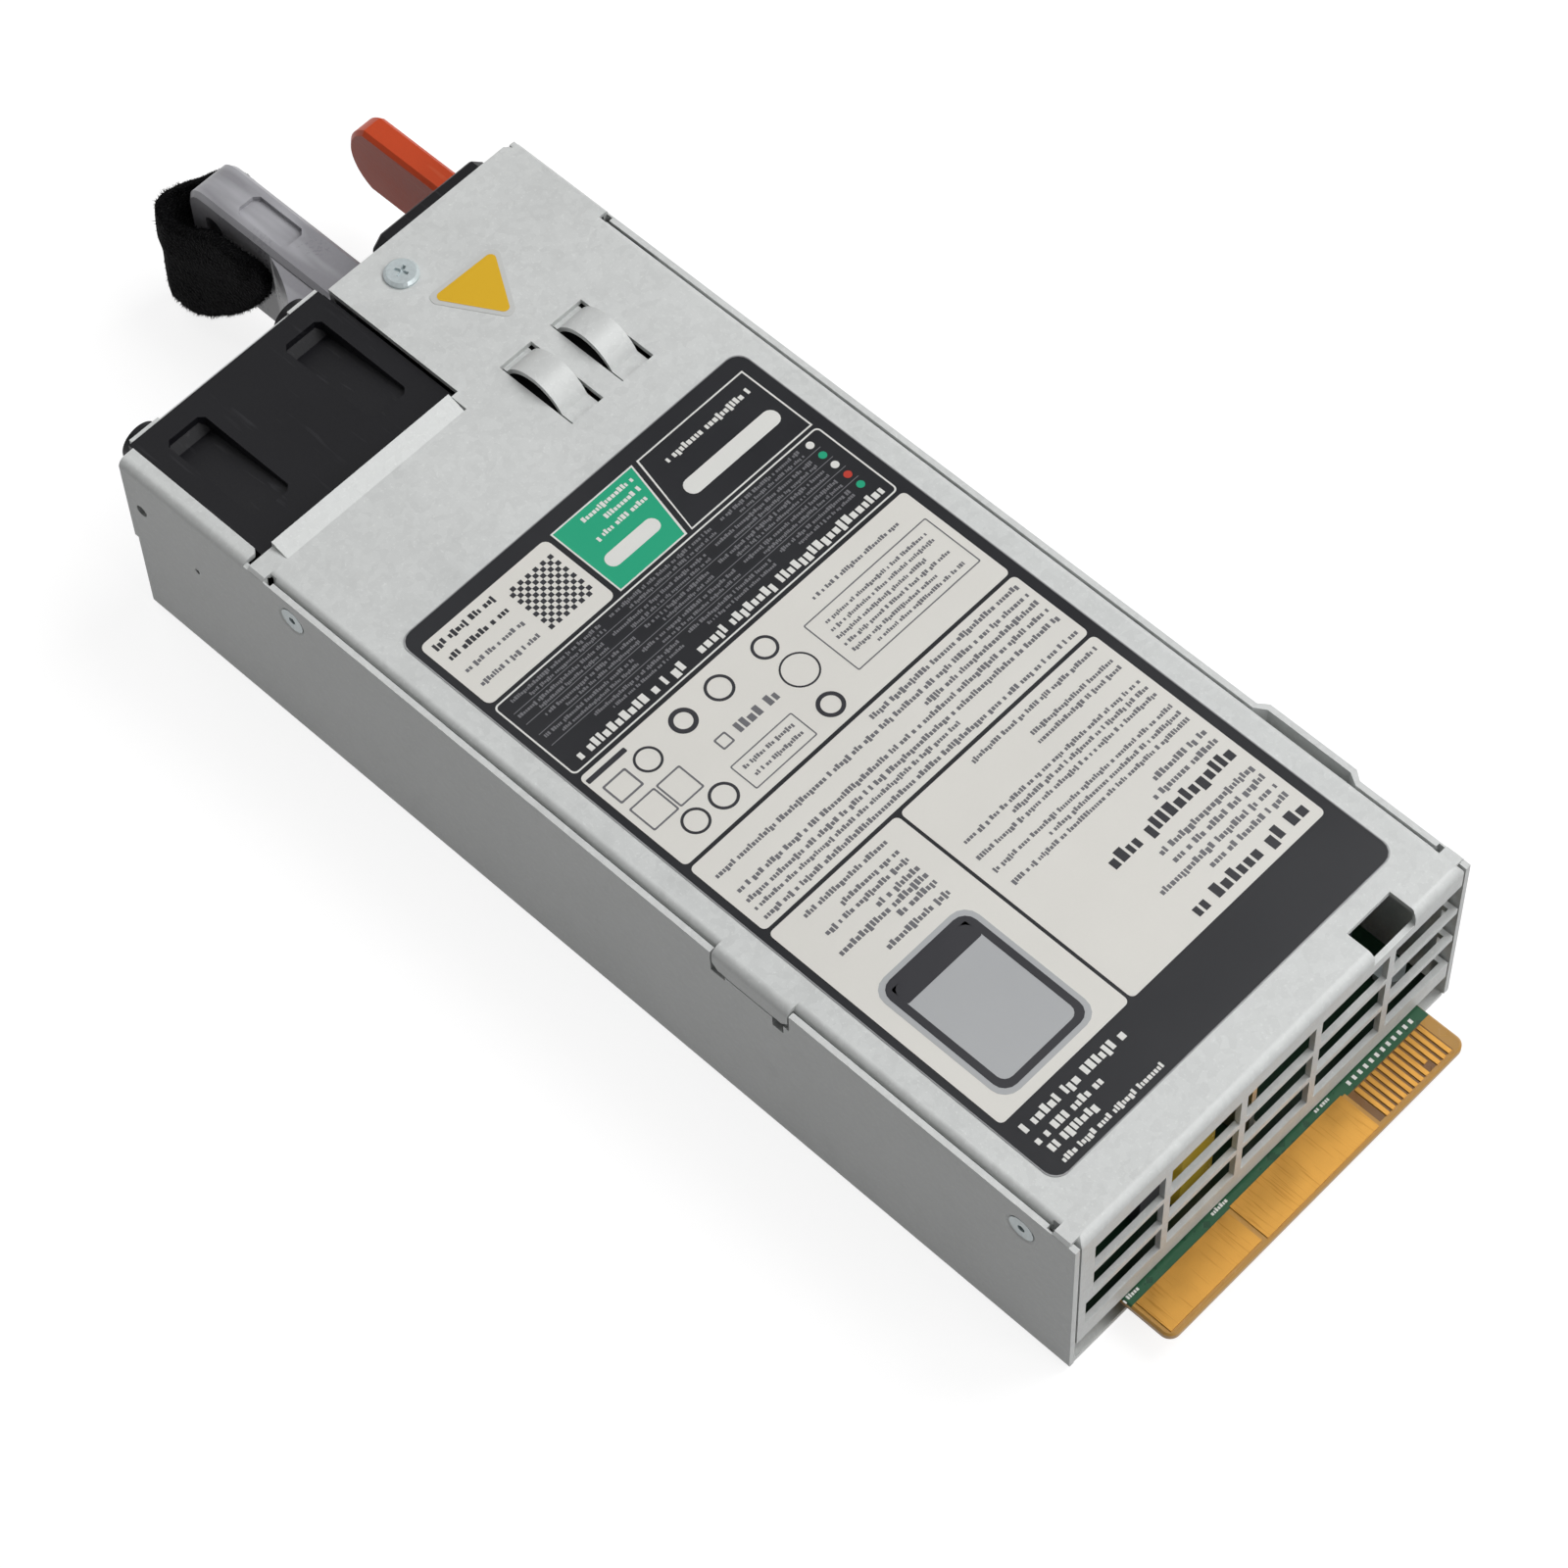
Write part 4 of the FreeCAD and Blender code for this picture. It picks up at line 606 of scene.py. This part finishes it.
# label: dark ground, pale panels, plain blocks in place of any wording; boxes are x and y, from and to
label = {
    "seed": 11, "line": 0.28, "outline": (-36.9, 36.7, -43.3, 90.05, 2.5),
    # heights of the printed layers
    "base": 39.12, "ground": 39.15, "panel": 39.18, "mark": 39.21, "top": 39.23,
    # box and corner radius
    "panels": [
        (8.5, 35.4, -40.2, -25.0, 1.2), (-35.0, 35.4, -6.2, 15.9, 0.9), (-35.0, 35.4, 16.6, 31.9, 0.9),
        (8.1, 35.4, 32.6, 78.3, 0.9), (-35.1, 7.5, 32.6, 78.3, 0.9),
    ],
    # y, x from, x to, thickness, and the ink where it is another than the text's
    "lines": [
        (-38.4, 21.5, 34.4, 0.9, "bold"), (-35.4, 21.5, 34.4, 0.9, "bold"), (-32.0, 21.5, 34.0, 0.7),
        (-28.6, 21.5, 34.6, 0.7), (-2.8, -30.0, -11.0, 0.6), (1.6, -31.5, -9.0, 0.55),
        (3.2, -31.5, -8.4, 0.55), (4.8, -28.0, -8.4, 0.55), (6.4, -31.5, -8.4, 0.55),
        (8.0, -27.0, -8.4, 0.55), (9.5, -31.5, -12.0, 0.55), (4.9, 4.8, 13.6, 1.5), (10.4, 7.0, 17.6, 0.6),
        (12.4, 7.0, 17.6, 0.6), (18.2, -33.8, -1.5, 0.75), (20.4, -33.8, 33.8, 0.75),
        (22.4, -33.8, -9.0, 0.75), (24.4, -33.8, 33.8, 0.75), (26.5, -33.8, 33.8, 0.75),
        (28.3, -10.0, 33.8, 0.65), (30.3, -33.8, 33.8, 0.75), (34.4, 12.4, 30.0, 0.75),
        (36.8, 12.4, 24.6, 0.75), (38.7, 12.4, 30.0, 0.75), (40.8, 12.4, 22.0, 0.9),
        (42.5, 12.4, 31.6, 0.9), (44.2, 12.4, 20.6, 0.9), (46.8, 12.4, 26.0, 0.9),
        (34.4, -33.6, -6.0, 0.65), (37.6, -33.6, -15.4, 0.65), (39.3, -33.6, -15.4, 0.65),
        (43.0, -33.6, 5.6, 0.65), (44.6, -33.6, -4.0, 0.65), (46.3, -33.6, 5.6, 0.65),
        (49.4, -33.6, 5.4, 0.65), (51.1, -33.6, -4.6, 0.65), (52.8, -33.6, 5.4, 0.65),
        (56.0, -33.6, -22.0, 0.9), (58.2, -33.6, -19.6, 0.9), (61.2, -33.6, -5.6, 1.9, "bold"),
        (65.2, -33.6, -13.0, 0.9), (67.4, -33.6, -13.0, 0.9), (69.7, -33.6, -7.6, 0.9),
        (71.9, -33.6, -16.6, 0.9), (75.3, -33.6, -9.2, 1.9, "bold"), (81.0, 12.6, 34.2, 1.3, "white"),
        (83.7, 20.4, 34.2, 1.1, "white"), (85.9, 24.0, 34.2, 1.1, "white"),
        (88.4, 12.6, 34.2, 0.8, "white"),
    ],
    "lineTall": 1.25,
    # two rows in each column of the table: how much lower, height, how much shorter
    "stateRows": ((-0.5, 0.62, 0.0), (0.6, 0.54, 3.0)),
    # y, dot ink, x spans of the three columns
    "states": [
        (-22.6, "white", (-29.4, -12.0), (-10.0, 12.0), (14.0, 33.0)),
        (-19.9, "green", (-29.4, -8.0), (-6.0, 14.0), (16.0, 34.0)),
        (-17.3, "white", (-29.4, -6.0), (-4.0, 10.0), (12.0, 31.0)),
        (-14.6, "red", (-29.4, -9.0), (-7.0, 13.0), (15.0, 34.0)),
        (-11.9, "green", (-29.4, -14.0), (-12.0, 6.0), (8.0, 26.0)),
    ],
    # centre x, centre y, radius, stroke
    "rings": [
        (26.0, -1.0, 2.3, 0.42), (17.6, -1.9, 2.3, 0.8), (9.8, -2.0, 2.4, 0.5), (0.0, -2.0, 2.2, 0.5),
        (-0.7, 4.6, 3.2, 0.32), (22.9, 11.6, 2.4, 0.5), (28.8, 11.6, 2.3, 0.45), (0.6, 12.2, 2.3, 0.7),
    ],
    # box and stroke
    "squares": [
        (29.4, 34.2, -2.6, 1.6, 0.35), (28.9, 34.2, 3.0, 8.4, 0.3), (23.6, 28.6, 3.0, 8.4, 0.3),
        (14.8, 17.2, 3.8, 6.2, 0.3), (5.7, 18.8, 8.8, 14.4, 0.22), (-33.6, -6.6, -0.4, 11.2, 0.22),
    ],
    # corners of the two slanted cells, and which way their outlines go in
    "greenCell": [(7.5, -40.2), (7.5, -25.0), (-6.9, -25.0), (-10.2, -40.2)],
    "greenInwards": [(-1, 1), (-1, -1), (1.2, -1), (1.2, 1)],
    "darkCell": [(-7.9, -25.0), (-34.6, -25.0), (-34.6, -40.2), (-11.2, -40.2)],
    "darkInwards": [(-1, -1), (1, -1), (1, 1), (-1, 1)],
    # y, x from, x to, height of the small lines; box and corner of the bar for the large ones
    "greenWords": [(-38.4, -8.4, 2.4, 0.95), (-36.4, -8.0, 0.4, 0.95), (-34.4, -7.4, 3.4, 0.95)],
    "greenBar": (-5.6, 5.4, -31.4, -28.6, 1.3),
    "darkWords": (-36.9, -32.6, -14.0, 1.2),
    "darkBar": (-32.6, -12.4, -32.2, -29.0, 1.5),
    # table: its box and outer corner, its inner corner, its ruled lines and its dots
    "table": (-34.8, 35.4, -24.3, -7.0, 0.9), "tableInner": 0.7,
    "rules": (-21.25, -18.6, -15.95, -13.25), "ruleReach": (-32.4, 34.0), "ruleHalf": 0.06,
    "dotX": -31.5, "dotRadius": 0.7, "dotSteps": 6,
    # y, x from, x to, height, letters in a word
    "titles": [(-9.0, -33.0, 8.0, 1.7, 9.0), (-9.0, 10.5, 33.6, 1.7, 6.0)],
    "codeX": (9.9, 18.7), "codeY": (-37.7, -28.6), "codeCount": 12, "codeSquare": 0.8,
    "dash": (27.0, 35.0, -5.2, -4.3, 0.2), "ringSteps": 9, "squareCorner": 0.3, "squareInner": 0.2,
    "plate": (12.2, 32.3, 49.8, 76.4, 3.0), "plateFrame": (13.1, 31.4, 50.7, 75.5, 2.4, 1.3, 1.6),
    "plateBar": (14.4, 30.1, 52.0, 55.4, 0.3),
}


def printCells(sheet, plan, onGround, onPanel):
    # green cell with one slanted side, the table's ruled lines, and thin outlines round the dark cells
    green = np.array(plan["greenCell"])
    sheet.patch(green, *onGround, "green")
    inwards = np.array(plan["greenInwards"]) * plan["line"]
    sheet.border(green, green + inwards, *onPanel, "white")
    rules = np.array(plan["rules"])
    ruleFrom, ruleTo = plan["ruleReach"]
    half = plan["ruleHalf"]
    starts, ends = np.full(len(rules), ruleFrom), np.full(len(rules), ruleTo)
    sheet.bars(starts, ends, rules - half, rules + half, *onGround, "grey")
    dark = np.array(plan["darkCell"])
    inwards = np.array(plan["darkInwards"]) * plan["line"]
    sheet.border(dark, dark + inwards, *onGround, "white")
    sheet.frame(*plan["table"], plan["line"], plan["tableInner"], *onGround, "white")


def printWords(sheet, plan, onGround, onPanel):
    # thin blocks of the size of small print, one line at a time
    for y, x0, x1, thick, *other in plan["lines"]:
        name = other[0] if other else "text"
        levels = onGround if name == "white" else onPanel
        sheet.words(x0, x1, y, plan["lineTall"] * thick, *levels, name)
    x, radius = plan["dotX"], plan["dotRadius"]
    for y, dot, *spans in plan["states"]:
        circle = roundedOutline(x - radius, x + radius, y - radius, y + radius, radius, plan["dotSteps"])
        sheet.patch(circle, *onGround, dot)
        for x0, x1 in spans:
            for lower, tall, shorter in plan["stateRows"]:
                sheet.words(x0, x1 - shorter, y + lower, tall, *onGround, "grey")
    for y, x0, x1, tall, letters in plan["titles"]:
        sheet.words(x0, x1, y, tall, *onGround, "white", letters)
    # a plain bar where the large wording of the green and the dark cell would stand
    for y, x0, x1, tall in plan["greenWords"]:
        sheet.words(x0, x1, y, tall, *onPanel, "white")
    sheet.patch(roundedOutline(*plan["greenBar"]), *onPanel, "white")
    y, x0, x1, tall = plan["darkWords"]
    sheet.words(x0, x1, y, tall, *onGround, "white")
    sheet.patch(roundedOutline(*plan["darkBar"]), *onGround, "white")


def printMarks(sheet, plan, onPanel):
    # plain screen of squares, then plain rings and squares in place of any mark
    count, square = plan["codeCount"], plan["codeSquare"]
    stepX, stepY = np.meshgrid(np.linspace(*plan["codeX"], count), np.linspace(*plan["codeY"], count),
                               indexing="ij")
    odd = (np.add.outer(np.arange(count), np.arange(count)) % 2 == 0).ravel()
    squareX, squareY = stepX.ravel()[odd], stepY.ravel()[odd]
    sheet.bars(squareX, squareX + square, squareY, squareY + square, *onPanel, "bold")
    for x, y, radius, stroke in plan["rings"]:
        sheet.frame(x - radius, x + radius, y - radius, y + radius, radius, stroke, radius - stroke,
                    *onPanel, "bold", plan["ringSteps"])
    for *box, stroke in plan["squares"]:
        sheet.frame(*box, plan["squareCorner"], stroke, plan["squareInner"], *onPanel, "text")
    sheet.patch(roundedOutline(*plan["dash"]), *onPanel, "bold")


def makeLabel(plan):
    onGround = (plan["ground"], plan["panel"])
    onPanel = (plan["panel"], plan["mark"])
    onMark = (plan["mark"], plan["top"])
    sheet = PrintSheet(plan["seed"])
    sheet.patch(roundedOutline(*plan["outline"]), plan["base"], plan["ground"], "dark")
    for panel in plan["panels"]:
        sheet.patch(roundedOutline(*panel), *onGround, "pale")
    printCells(sheet, plan, onGround, onPanel)
    printWords(sheet, plan, onGround, onPanel)
    printMarks(sheet, plan, onPanel)
    # bare silver plate in a dark frame
    sheet.patch(roundedOutline(*plan["plate"]), *onPanel, "silver")
    sheet.frame(*plan["plateFrame"], *onMark, "bold")
    sheet.patch(roundedOutline(*plan["plateBar"]), *onMark, "bold")
    return sheet.build("labelPrint", printFinish("labelInk"))


makeLabel(label)


# marker: a plain yellow triangle with round corners on a slightly larger clear backing
markerLook = {"corners": [(-11.0, -86.2), (-18.2, -74.0), (-25.6, -85.8)], "film": 0.5, "round": 0.9,
              "inset": 0.3, "low": 39.0, "middle": 39.08, "high": 39.13}


def roundedTriangle(corners, reach, radius, steps=7):
    # each corner is a small arc about the corner moved inwards, swept between its two side normals
    corner = np.asarray(corners, float)
    middle = corner.mean(0)
    side = unit(np.roll(corner, -1, 0) - corner)
    normal = np.stack([side[:, 1], -side[:, 0]], 1)
    normal *= np.sign(((corner - middle) * normal).sum(1))[:, None]
    before = np.roll(normal, 1, 0)
    bisector = before + normal
    inward = corner - bisector * (radius - reach) / (1 + (before * normal).sum(1))[:, None]
    t = np.linspace(0, 1, steps)[None, :, None]
    sweep = unit(before[:, None, :] * (1 - t) + normal[:, None, :] * t)
    return (inward[:, None, :] + radius * sweep).reshape(-1, 2)


def makeMarker(look):
    sheet = PrintSheet()
    backing = roundedTriangle(look["corners"], look["film"], look["round"] + look["film"])
    sheet.patch(backing, look["low"], look["middle"], "film")
    face = roundedTriangle(look["corners"], -look["inset"], look["round"])
    sheet.patch(face, look["middle"], look["high"], "yellow")
    return sheet.build("markerPrint", printFinish("markerInk"))


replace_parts(makeMarker(markerLook), "marker_sticker")


# tongue: a row of plain white ticks on the mask, one for each narrow contact, and a few by the wide ones
tickLook = {"seed": 3, "first": -18.1, "pitch": -1.3, "count": 12, "half": 0.28, "near": (99.75, 100.55),
            "wide": (-14.0, 9.0, 28.6), "wideReach": 3.4, "wideTall": 0.7, "wideBack": 0.2,
            "low": 6.2, "high": 6.23}


def makeTicks(look):
    sheet = PrintSheet(look["seed"])
    x = look["first"] + look["pitch"] * np.arange(look["count"])
    y0, y1 = look["near"]
    levels = (look["low"], look["high"])
    half = look["half"]
    sheet.bars(x - half, x + half, np.full(len(x), y0), np.full(len(x), y1), *levels, "white")
    for start in look["wide"]:
        sheet.words(start, start + look["wideReach"], y0 - look["wideBack"], look["wideTall"], *levels,
                    "white", 9.0)
    return sheet.build("tongueTicks", printFinish("tickInk"))


makeTicks(tickLook)
print("label, marker and tongue printed")


# strap: a band on edge that leaves the handle's slot, goes round the tip and lies along the flank
strap = {"thick": 2.0, "steps": 130, "around": 72, "roundness": 0.45, "endFrom": 0.975, "endThinned": 0.85,
         # height, turns and start of the wave across the band and of the one at its edges
         "waves": ((0.16, 17.0, 0.0), (0.14, 31.0, 1.0)),
         # second layer: thickness, share of the width where it begins, its edge, and its span along the band
         "layer": 0.6, "layerFrom": 0.2, "layerEdge": 0.03, "layerSteep": 4, "layerEnd": 0.93,
         "layerFade": 0.05, "layerRise": 0.06,
         "bottomOut": 0.12, "leanFrom": 0.42, "leanRise": 0.12, "leanRef": 24.0,
         "rows": [
             # x, y, lower edge, upper edge
             (-9.0, -131.4, 12.0, 25.0), (-13.6, -131.8, 11.4, 25.0), (-15.0, -134.6, 9.4, 24.8),
             (-13.6, -138.6, 8.0, 24.6), (-10.0, -140.4, 7.0, 24.4), (-6.4, -141.8, 6.1, 24.0),
             (-3.4, -142.2, 5.1, 23.2), (-2.1, -140.0, 4.3, 22.6), (-2.3, -137.0, 3.8, 22.4),
             (-2.6, -133.8, 4.0, 23.4), (-2.8, -130.4, 5.6, 25.2), (-3.0, -126.8, 8.6, 26.0),
             (-3.1, -123.2, 12.0, 26.2), (-3.2, -120.0, 16.0, 26.0), (-3.3, -117.9, 19.4, 25.2),
             (-3.3, -116.6, 21.8, 23.8)]}


def smoothPath(points, count):
    # Catmull-Rom curve through the points, resampled to even steps of its length in plan
    p = np.asarray(points, float)
    p = np.vstack([2 * p[0] - p[1], p, 2 * p[-1] - p[-2]])
    t = np.linspace(0, len(p) - 3 - 1e-9, 40 * len(p))
    i = t.astype(int)
    f = (t - i)[:, None]
    a, b, c, d = p[i], p[i + 1], p[i + 2], p[i + 3]
    square = (2 * a - 5 * b + 4 * c - d) * f ** 2
    cube = (3 * b - a - 3 * c + d) * f ** 3
    curve = 0.5 * (2 * b + (c - a) * f + square + cube)
    gone = np.concatenate([[0], np.cumsum(np.linalg.norm(np.diff(curve[:, :2], axis=0), axis=1))])
    even = np.linspace(0, gone[-1], count)
    return np.stack([np.interp(even, gone, curve[:, k]) for k in range(p.shape[1])], 1), gone[-1]


def flattened(wave, power):
    return np.sign(wave) * np.abs(wave) ** power


def makeStrap(look):
    rows, total = smoothPath(look["rows"], look["steps"])
    u = np.linspace(0, 1, look["steps"])
    plan, low, high = rows[:, :2], rows[:, 2], rows[:, 3]
    along = unit(np.gradient(plan, axis=0))
    face = np.stack([along[:, 1], -along[:, 0]], 1)
    angle = np.linspace(0, 2 * math.pi, look["around"], endpoint=False)
    # across the band: half width times a flattened cosine, thickness times a flattened sine
    wide = flattened(np.cos(angle), look["roundness"])
    deep = flattened(np.sin(angle), look["roundness"])
    end = np.clip((u - look["endFrom"]) / (1 - look["endFrom"]), 0, 1)
    thick = look["thick"] / 2 * np.sqrt(1 - look["endThinned"] * end ** 2)
    z = (low + high)[:, None] / 2 + (high - low)[:, None] / 2 * wide[None, :]
    # soft waves along the band, one across its whole width and one towards both edges
    whole, edges = [height * np.sin(u * turns + start)[:, None] for height, turns, start in look["waves"]]
    waves = whole * wide[None, :] + edges * wide[None, :] ** 2
    # the upper part carries a second layer, its edge a step along the band
    step = 1 / (1 + np.exp(-(wide - look["layerFrom"]) / look["layerEdge"]))
    layer = step * np.clip(np.sin(angle) * look["layerSteep"], 0, 1)
    fade = np.clip((look["layerEnd"] - u) / look["layerFade"], 0, 1)
    ending = fade * np.clip((u - look["leanFrom"]) / look["layerRise"], 0, 1)
    offset = thick[:, None] * deep[None, :] + waves + look["layer"] * layer[None, :] * ending[:, None]
    flat = plan[:, None, :] + face[:, None, :] * offset[..., None]
    # along the flank the lower edge is turned outwards
    leaning = look["bottomOut"] * np.clip((u - look["leanFrom"]) / look["leanRise"], 0, 1)
    flat[..., 0] += leaning[:, None] * (look["leanRef"] - z)
    points = np.concatenate([flat, z[..., None]], 2)
    n, k = look["steps"], look["around"]
    i, j = np.meshgrid(np.arange(n - 1), np.arange(k), indexing="ij")
    a = (i * k + j).ravel()
    b = (i * k + (j + 1) % k).ravel()
    quads = np.stack([a, b, b + k, a + k], 1)
    ends = points[[0, -1]].mean(1)
    grid = np.vstack([points.reshape(-1, 3), ends])
    first = np.arange(k)
    last = (n - 1) * k + first
    closeStart = np.stack([np.roll(first, -1), first, np.full(k, n * k)], 1)
    closeTip = np.stack([last, np.roll(last, -1), np.full(k, n * k + 1)], 1)
    piece = pieceFrom("cableStrap", grid, list(quads) + list(closeTip) + list(closeStart),
                      slotFinish["strap_fabric"], True)
    return piece, total, points


strapPiece, strapLength, strapPoints = makeStrap(strap)
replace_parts(strapPiece, "handle_strap")


pile = {"seed": 5, "count": 6000, "thin": 0.07, "sunk": 0.1, "spread": 0.7, "length": (0.3, 0.95),
        "edgeShare": 0.6, "edgeBand": 12, "shortUntil": 0.4, "short": 0.5, "clear": 0.3,
        # the handle's arm: x from, x to, and y of its tip
        "arm": (-13.5, -4.7, -137.6)}


def makePile(look, band):
    # short fibres: thin three sided spikes scattered over the band, leaning at random
    rng = np.random.default_rng(look["seed"])
    n, k, _ = band.shape
    count = look["count"]
    rows = rng.integers(2, n - 1, count)
    # more fibres at the band's two edges than on its faces
    part = look["edgeBand"]
    edge = np.where(rng.random(count) < 0.5, 0, k // 2) + rng.integers(-k // part, k // part + 1, count)
    columns = np.where(rng.random(count) < look["edgeShare"], edge % k, rng.integers(0, k, count))
    root = band[rows, columns]
    outward = unit(root - band[rows].mean(1) + 1e-6)
    lean = unit(outward + rng.normal(0, look["spread"], (count, 3)))
    shorter = np.where(rows < look["shortUntil"] * n, look["short"], 1.0)
    length = rng.uniform(*look["length"], count)[:, None] * shorter[:, None]
    # fibres that would reach into the handle's arm are left off
    armLow, armHigh, tipY = look["arm"]
    clear = look["clear"]
    reach = root + lean * length
    inArm = (reach[:, 0] > armLow - clear) & (reach[:, 0] < armHigh + clear) & (reach[:, 1] > tipY - clear)
    root, lean, length = root[~inArm], lean[~inArm], length[~inArm]
    count = len(root)
    side = unit(np.cross(lean, rng.normal(0, 1, (count, 3))))[:, None, :]
    other = np.cross(lean, side[:, 0])[:, None, :]
    turn = (np.arange(3) * 2 * math.pi / 3)[None, :, None]
    foot = (root - lean * look["sunk"])[:, None, :]
    base = foot + look["thin"] * (side * np.cos(turn) + other * np.sin(turn))
    points = np.concatenate([base, (root + lean * length)[:, None, :]], 1).reshape(-1, 3)
    spike = np.array([[0, 1, 3], [1, 2, 3], [2, 0, 3], [2, 1, 0]])
    faces = (spike[None] + (np.arange(count) * 4)[:, None, None]).reshape(-1, 3)
    return pieceFrom("strapFibres", points, list(faces), slotFinish["strap_fabric"])


fibres = makePile(pile, strapPoints)
print("strap folded, length", round(strapLength, 1), "mm")


# floor, light and camera
def seenMask(tree):
    # 1 for what the camera sees directly, in gloss or through clear material, else 0
    path = addNode(tree, "ShaderNodeLightPath")
    seen = plus(tree, path.outputs["Is Camera Ray"], path.outputs["Is Glossy Ray"], True)
    return plus(tree, seen, path.outputs["Is Transmission Ray"], True)


stageLook = {"reach": 6.0, "lift": 0.85, "farLift": 0.15, "far": (0.7, 2.2),
             "sockets": {"BaseColor": (0.28, 0.28, 0.28, 1), "Roughness": 0.9, "SpecularIORLevel": 0.1,
                         "EmissionColor": (1, 1, 1, 1)}}


def makeStage(look):
    mesh = bpy.data.meshes.new("paleFloor")
    reach = look["reach"]
    corners = [(-reach, -reach, 0), (reach, -reach, 0), (reach, reach, 0), (-reach, reach, 0)]
    mesh.from_pydata(corners, [], [(0, 1, 2, 3)])
    floor = placed("paleFloor", mesh)
    material, tree, shader = startMaterial("paleFloor")
    feedNamed(tree, shader, look["sockets"])
    # seen straight on or in gloss the floor is lifted to white; its shadow stays, and far off,
    # where the lamps no longer reach, the lift is full
    away = addNode(tree, "ShaderNodeVectorMath", operation="LENGTH")
    feed(tree, away.inputs[0], placeOf(tree))
    far = times(tree, rampNode(tree, away.outputs["Value"], *look["far"]), look["farLift"])
    lift = plus(tree, far, look["lift"])
    feed(tree, shader.inputs["Emission Strength"], times(tree, seenMask(tree), lift))
    mesh.materials.append(material)


# each lamp: its place, its size and its power; all face the object
lampPlan = {"mainLamp": ((-0.85, 0.3, 1.35), 1.0, 16.0), "frontLamp": ((0.0, -1.0, 1.2), 0.9, 4.0),
            "rearLamp": ((-0.2, 1.3, 1.0), 0.9, 8.0)}


def makeLamp(name, place, size, power):
    lamp = bpy.data.lights.new(name, "AREA")
    lamp.size = size
    lamp.energy = power
    holder = placed(name, lamp)
    holder.location = place
    holder.rotation_euler = (-Vector(place)).to_track_quat("-Z", "Y").to_euler()


# even dim light; seen at less than the first height the room is white, past the second it is dim too
roomLook = {"light": 0.09, "whiteUpTo": 0.42, "dimFrom": 0.62}


def makeRoom(look):
    world = bpy.data.worlds.new("paleRoom")
    bpy.context.scene.world = world
    world.use_nodes = True
    tree = world.node_tree
    height = axesOf(tree, placeOf(tree, "Generated"))["Z"]
    low = rampNode(tree, height, look["dimFrom"], look["whiteUpTo"])
    white = times(tree, times(tree, seenMask(tree), low), 1 - look["light"])
    strength = plus(tree, white, look["light"])
    feedAll(tree, tree.nodes["Background"], {"Color": (1, 1, 1, 1), "Strength": strength})


makeStage(stageLook)
for lampName, plan in lampPlan.items():
    makeLamp(lampName, *plan)
makeRoom(roomLook)

cameraPlan = {"azimuth": 136.05, "elevation": 58.47, "roll": -2.75, "place": (0.28098, 0.29218, 0.66285),
              "lens": 113.9, "sensor": 36.0}


def makeCamera(plan):
    around, up = math.radians(plan["azimuth"]), math.radians(plan["elevation"])
    back = Vector((math.sin(around) * math.cos(up), -math.cos(around) * math.cos(up), math.sin(up)))
    right = Vector((0, 0, 1)).cross(back).normalized()
    above = back.cross(right)
    roll = math.radians(plan["roll"])
    turnedRight = right * math.cos(roll) + above * math.sin(roll)
    turnedUp = above * math.cos(roll) - right * math.sin(roll)
    lens = bpy.data.cameras.new("studioCamera")
    lens.lens = plan["lens"]
    lens.sensor_width = plan["sensor"]
    holder = placed("studioCamera", lens)
    facing = Matrix((turnedRight, turnedUp, back)).transposed().to_4x4()
    holder.matrix_world = Matrix.Translation(plan["place"]) @ facing
    bpy.context.scene.camera = holder


makeCamera(cameraPlan)
bpy.context.scene.view_settings.view_transform = "Standard"
print("stage set")
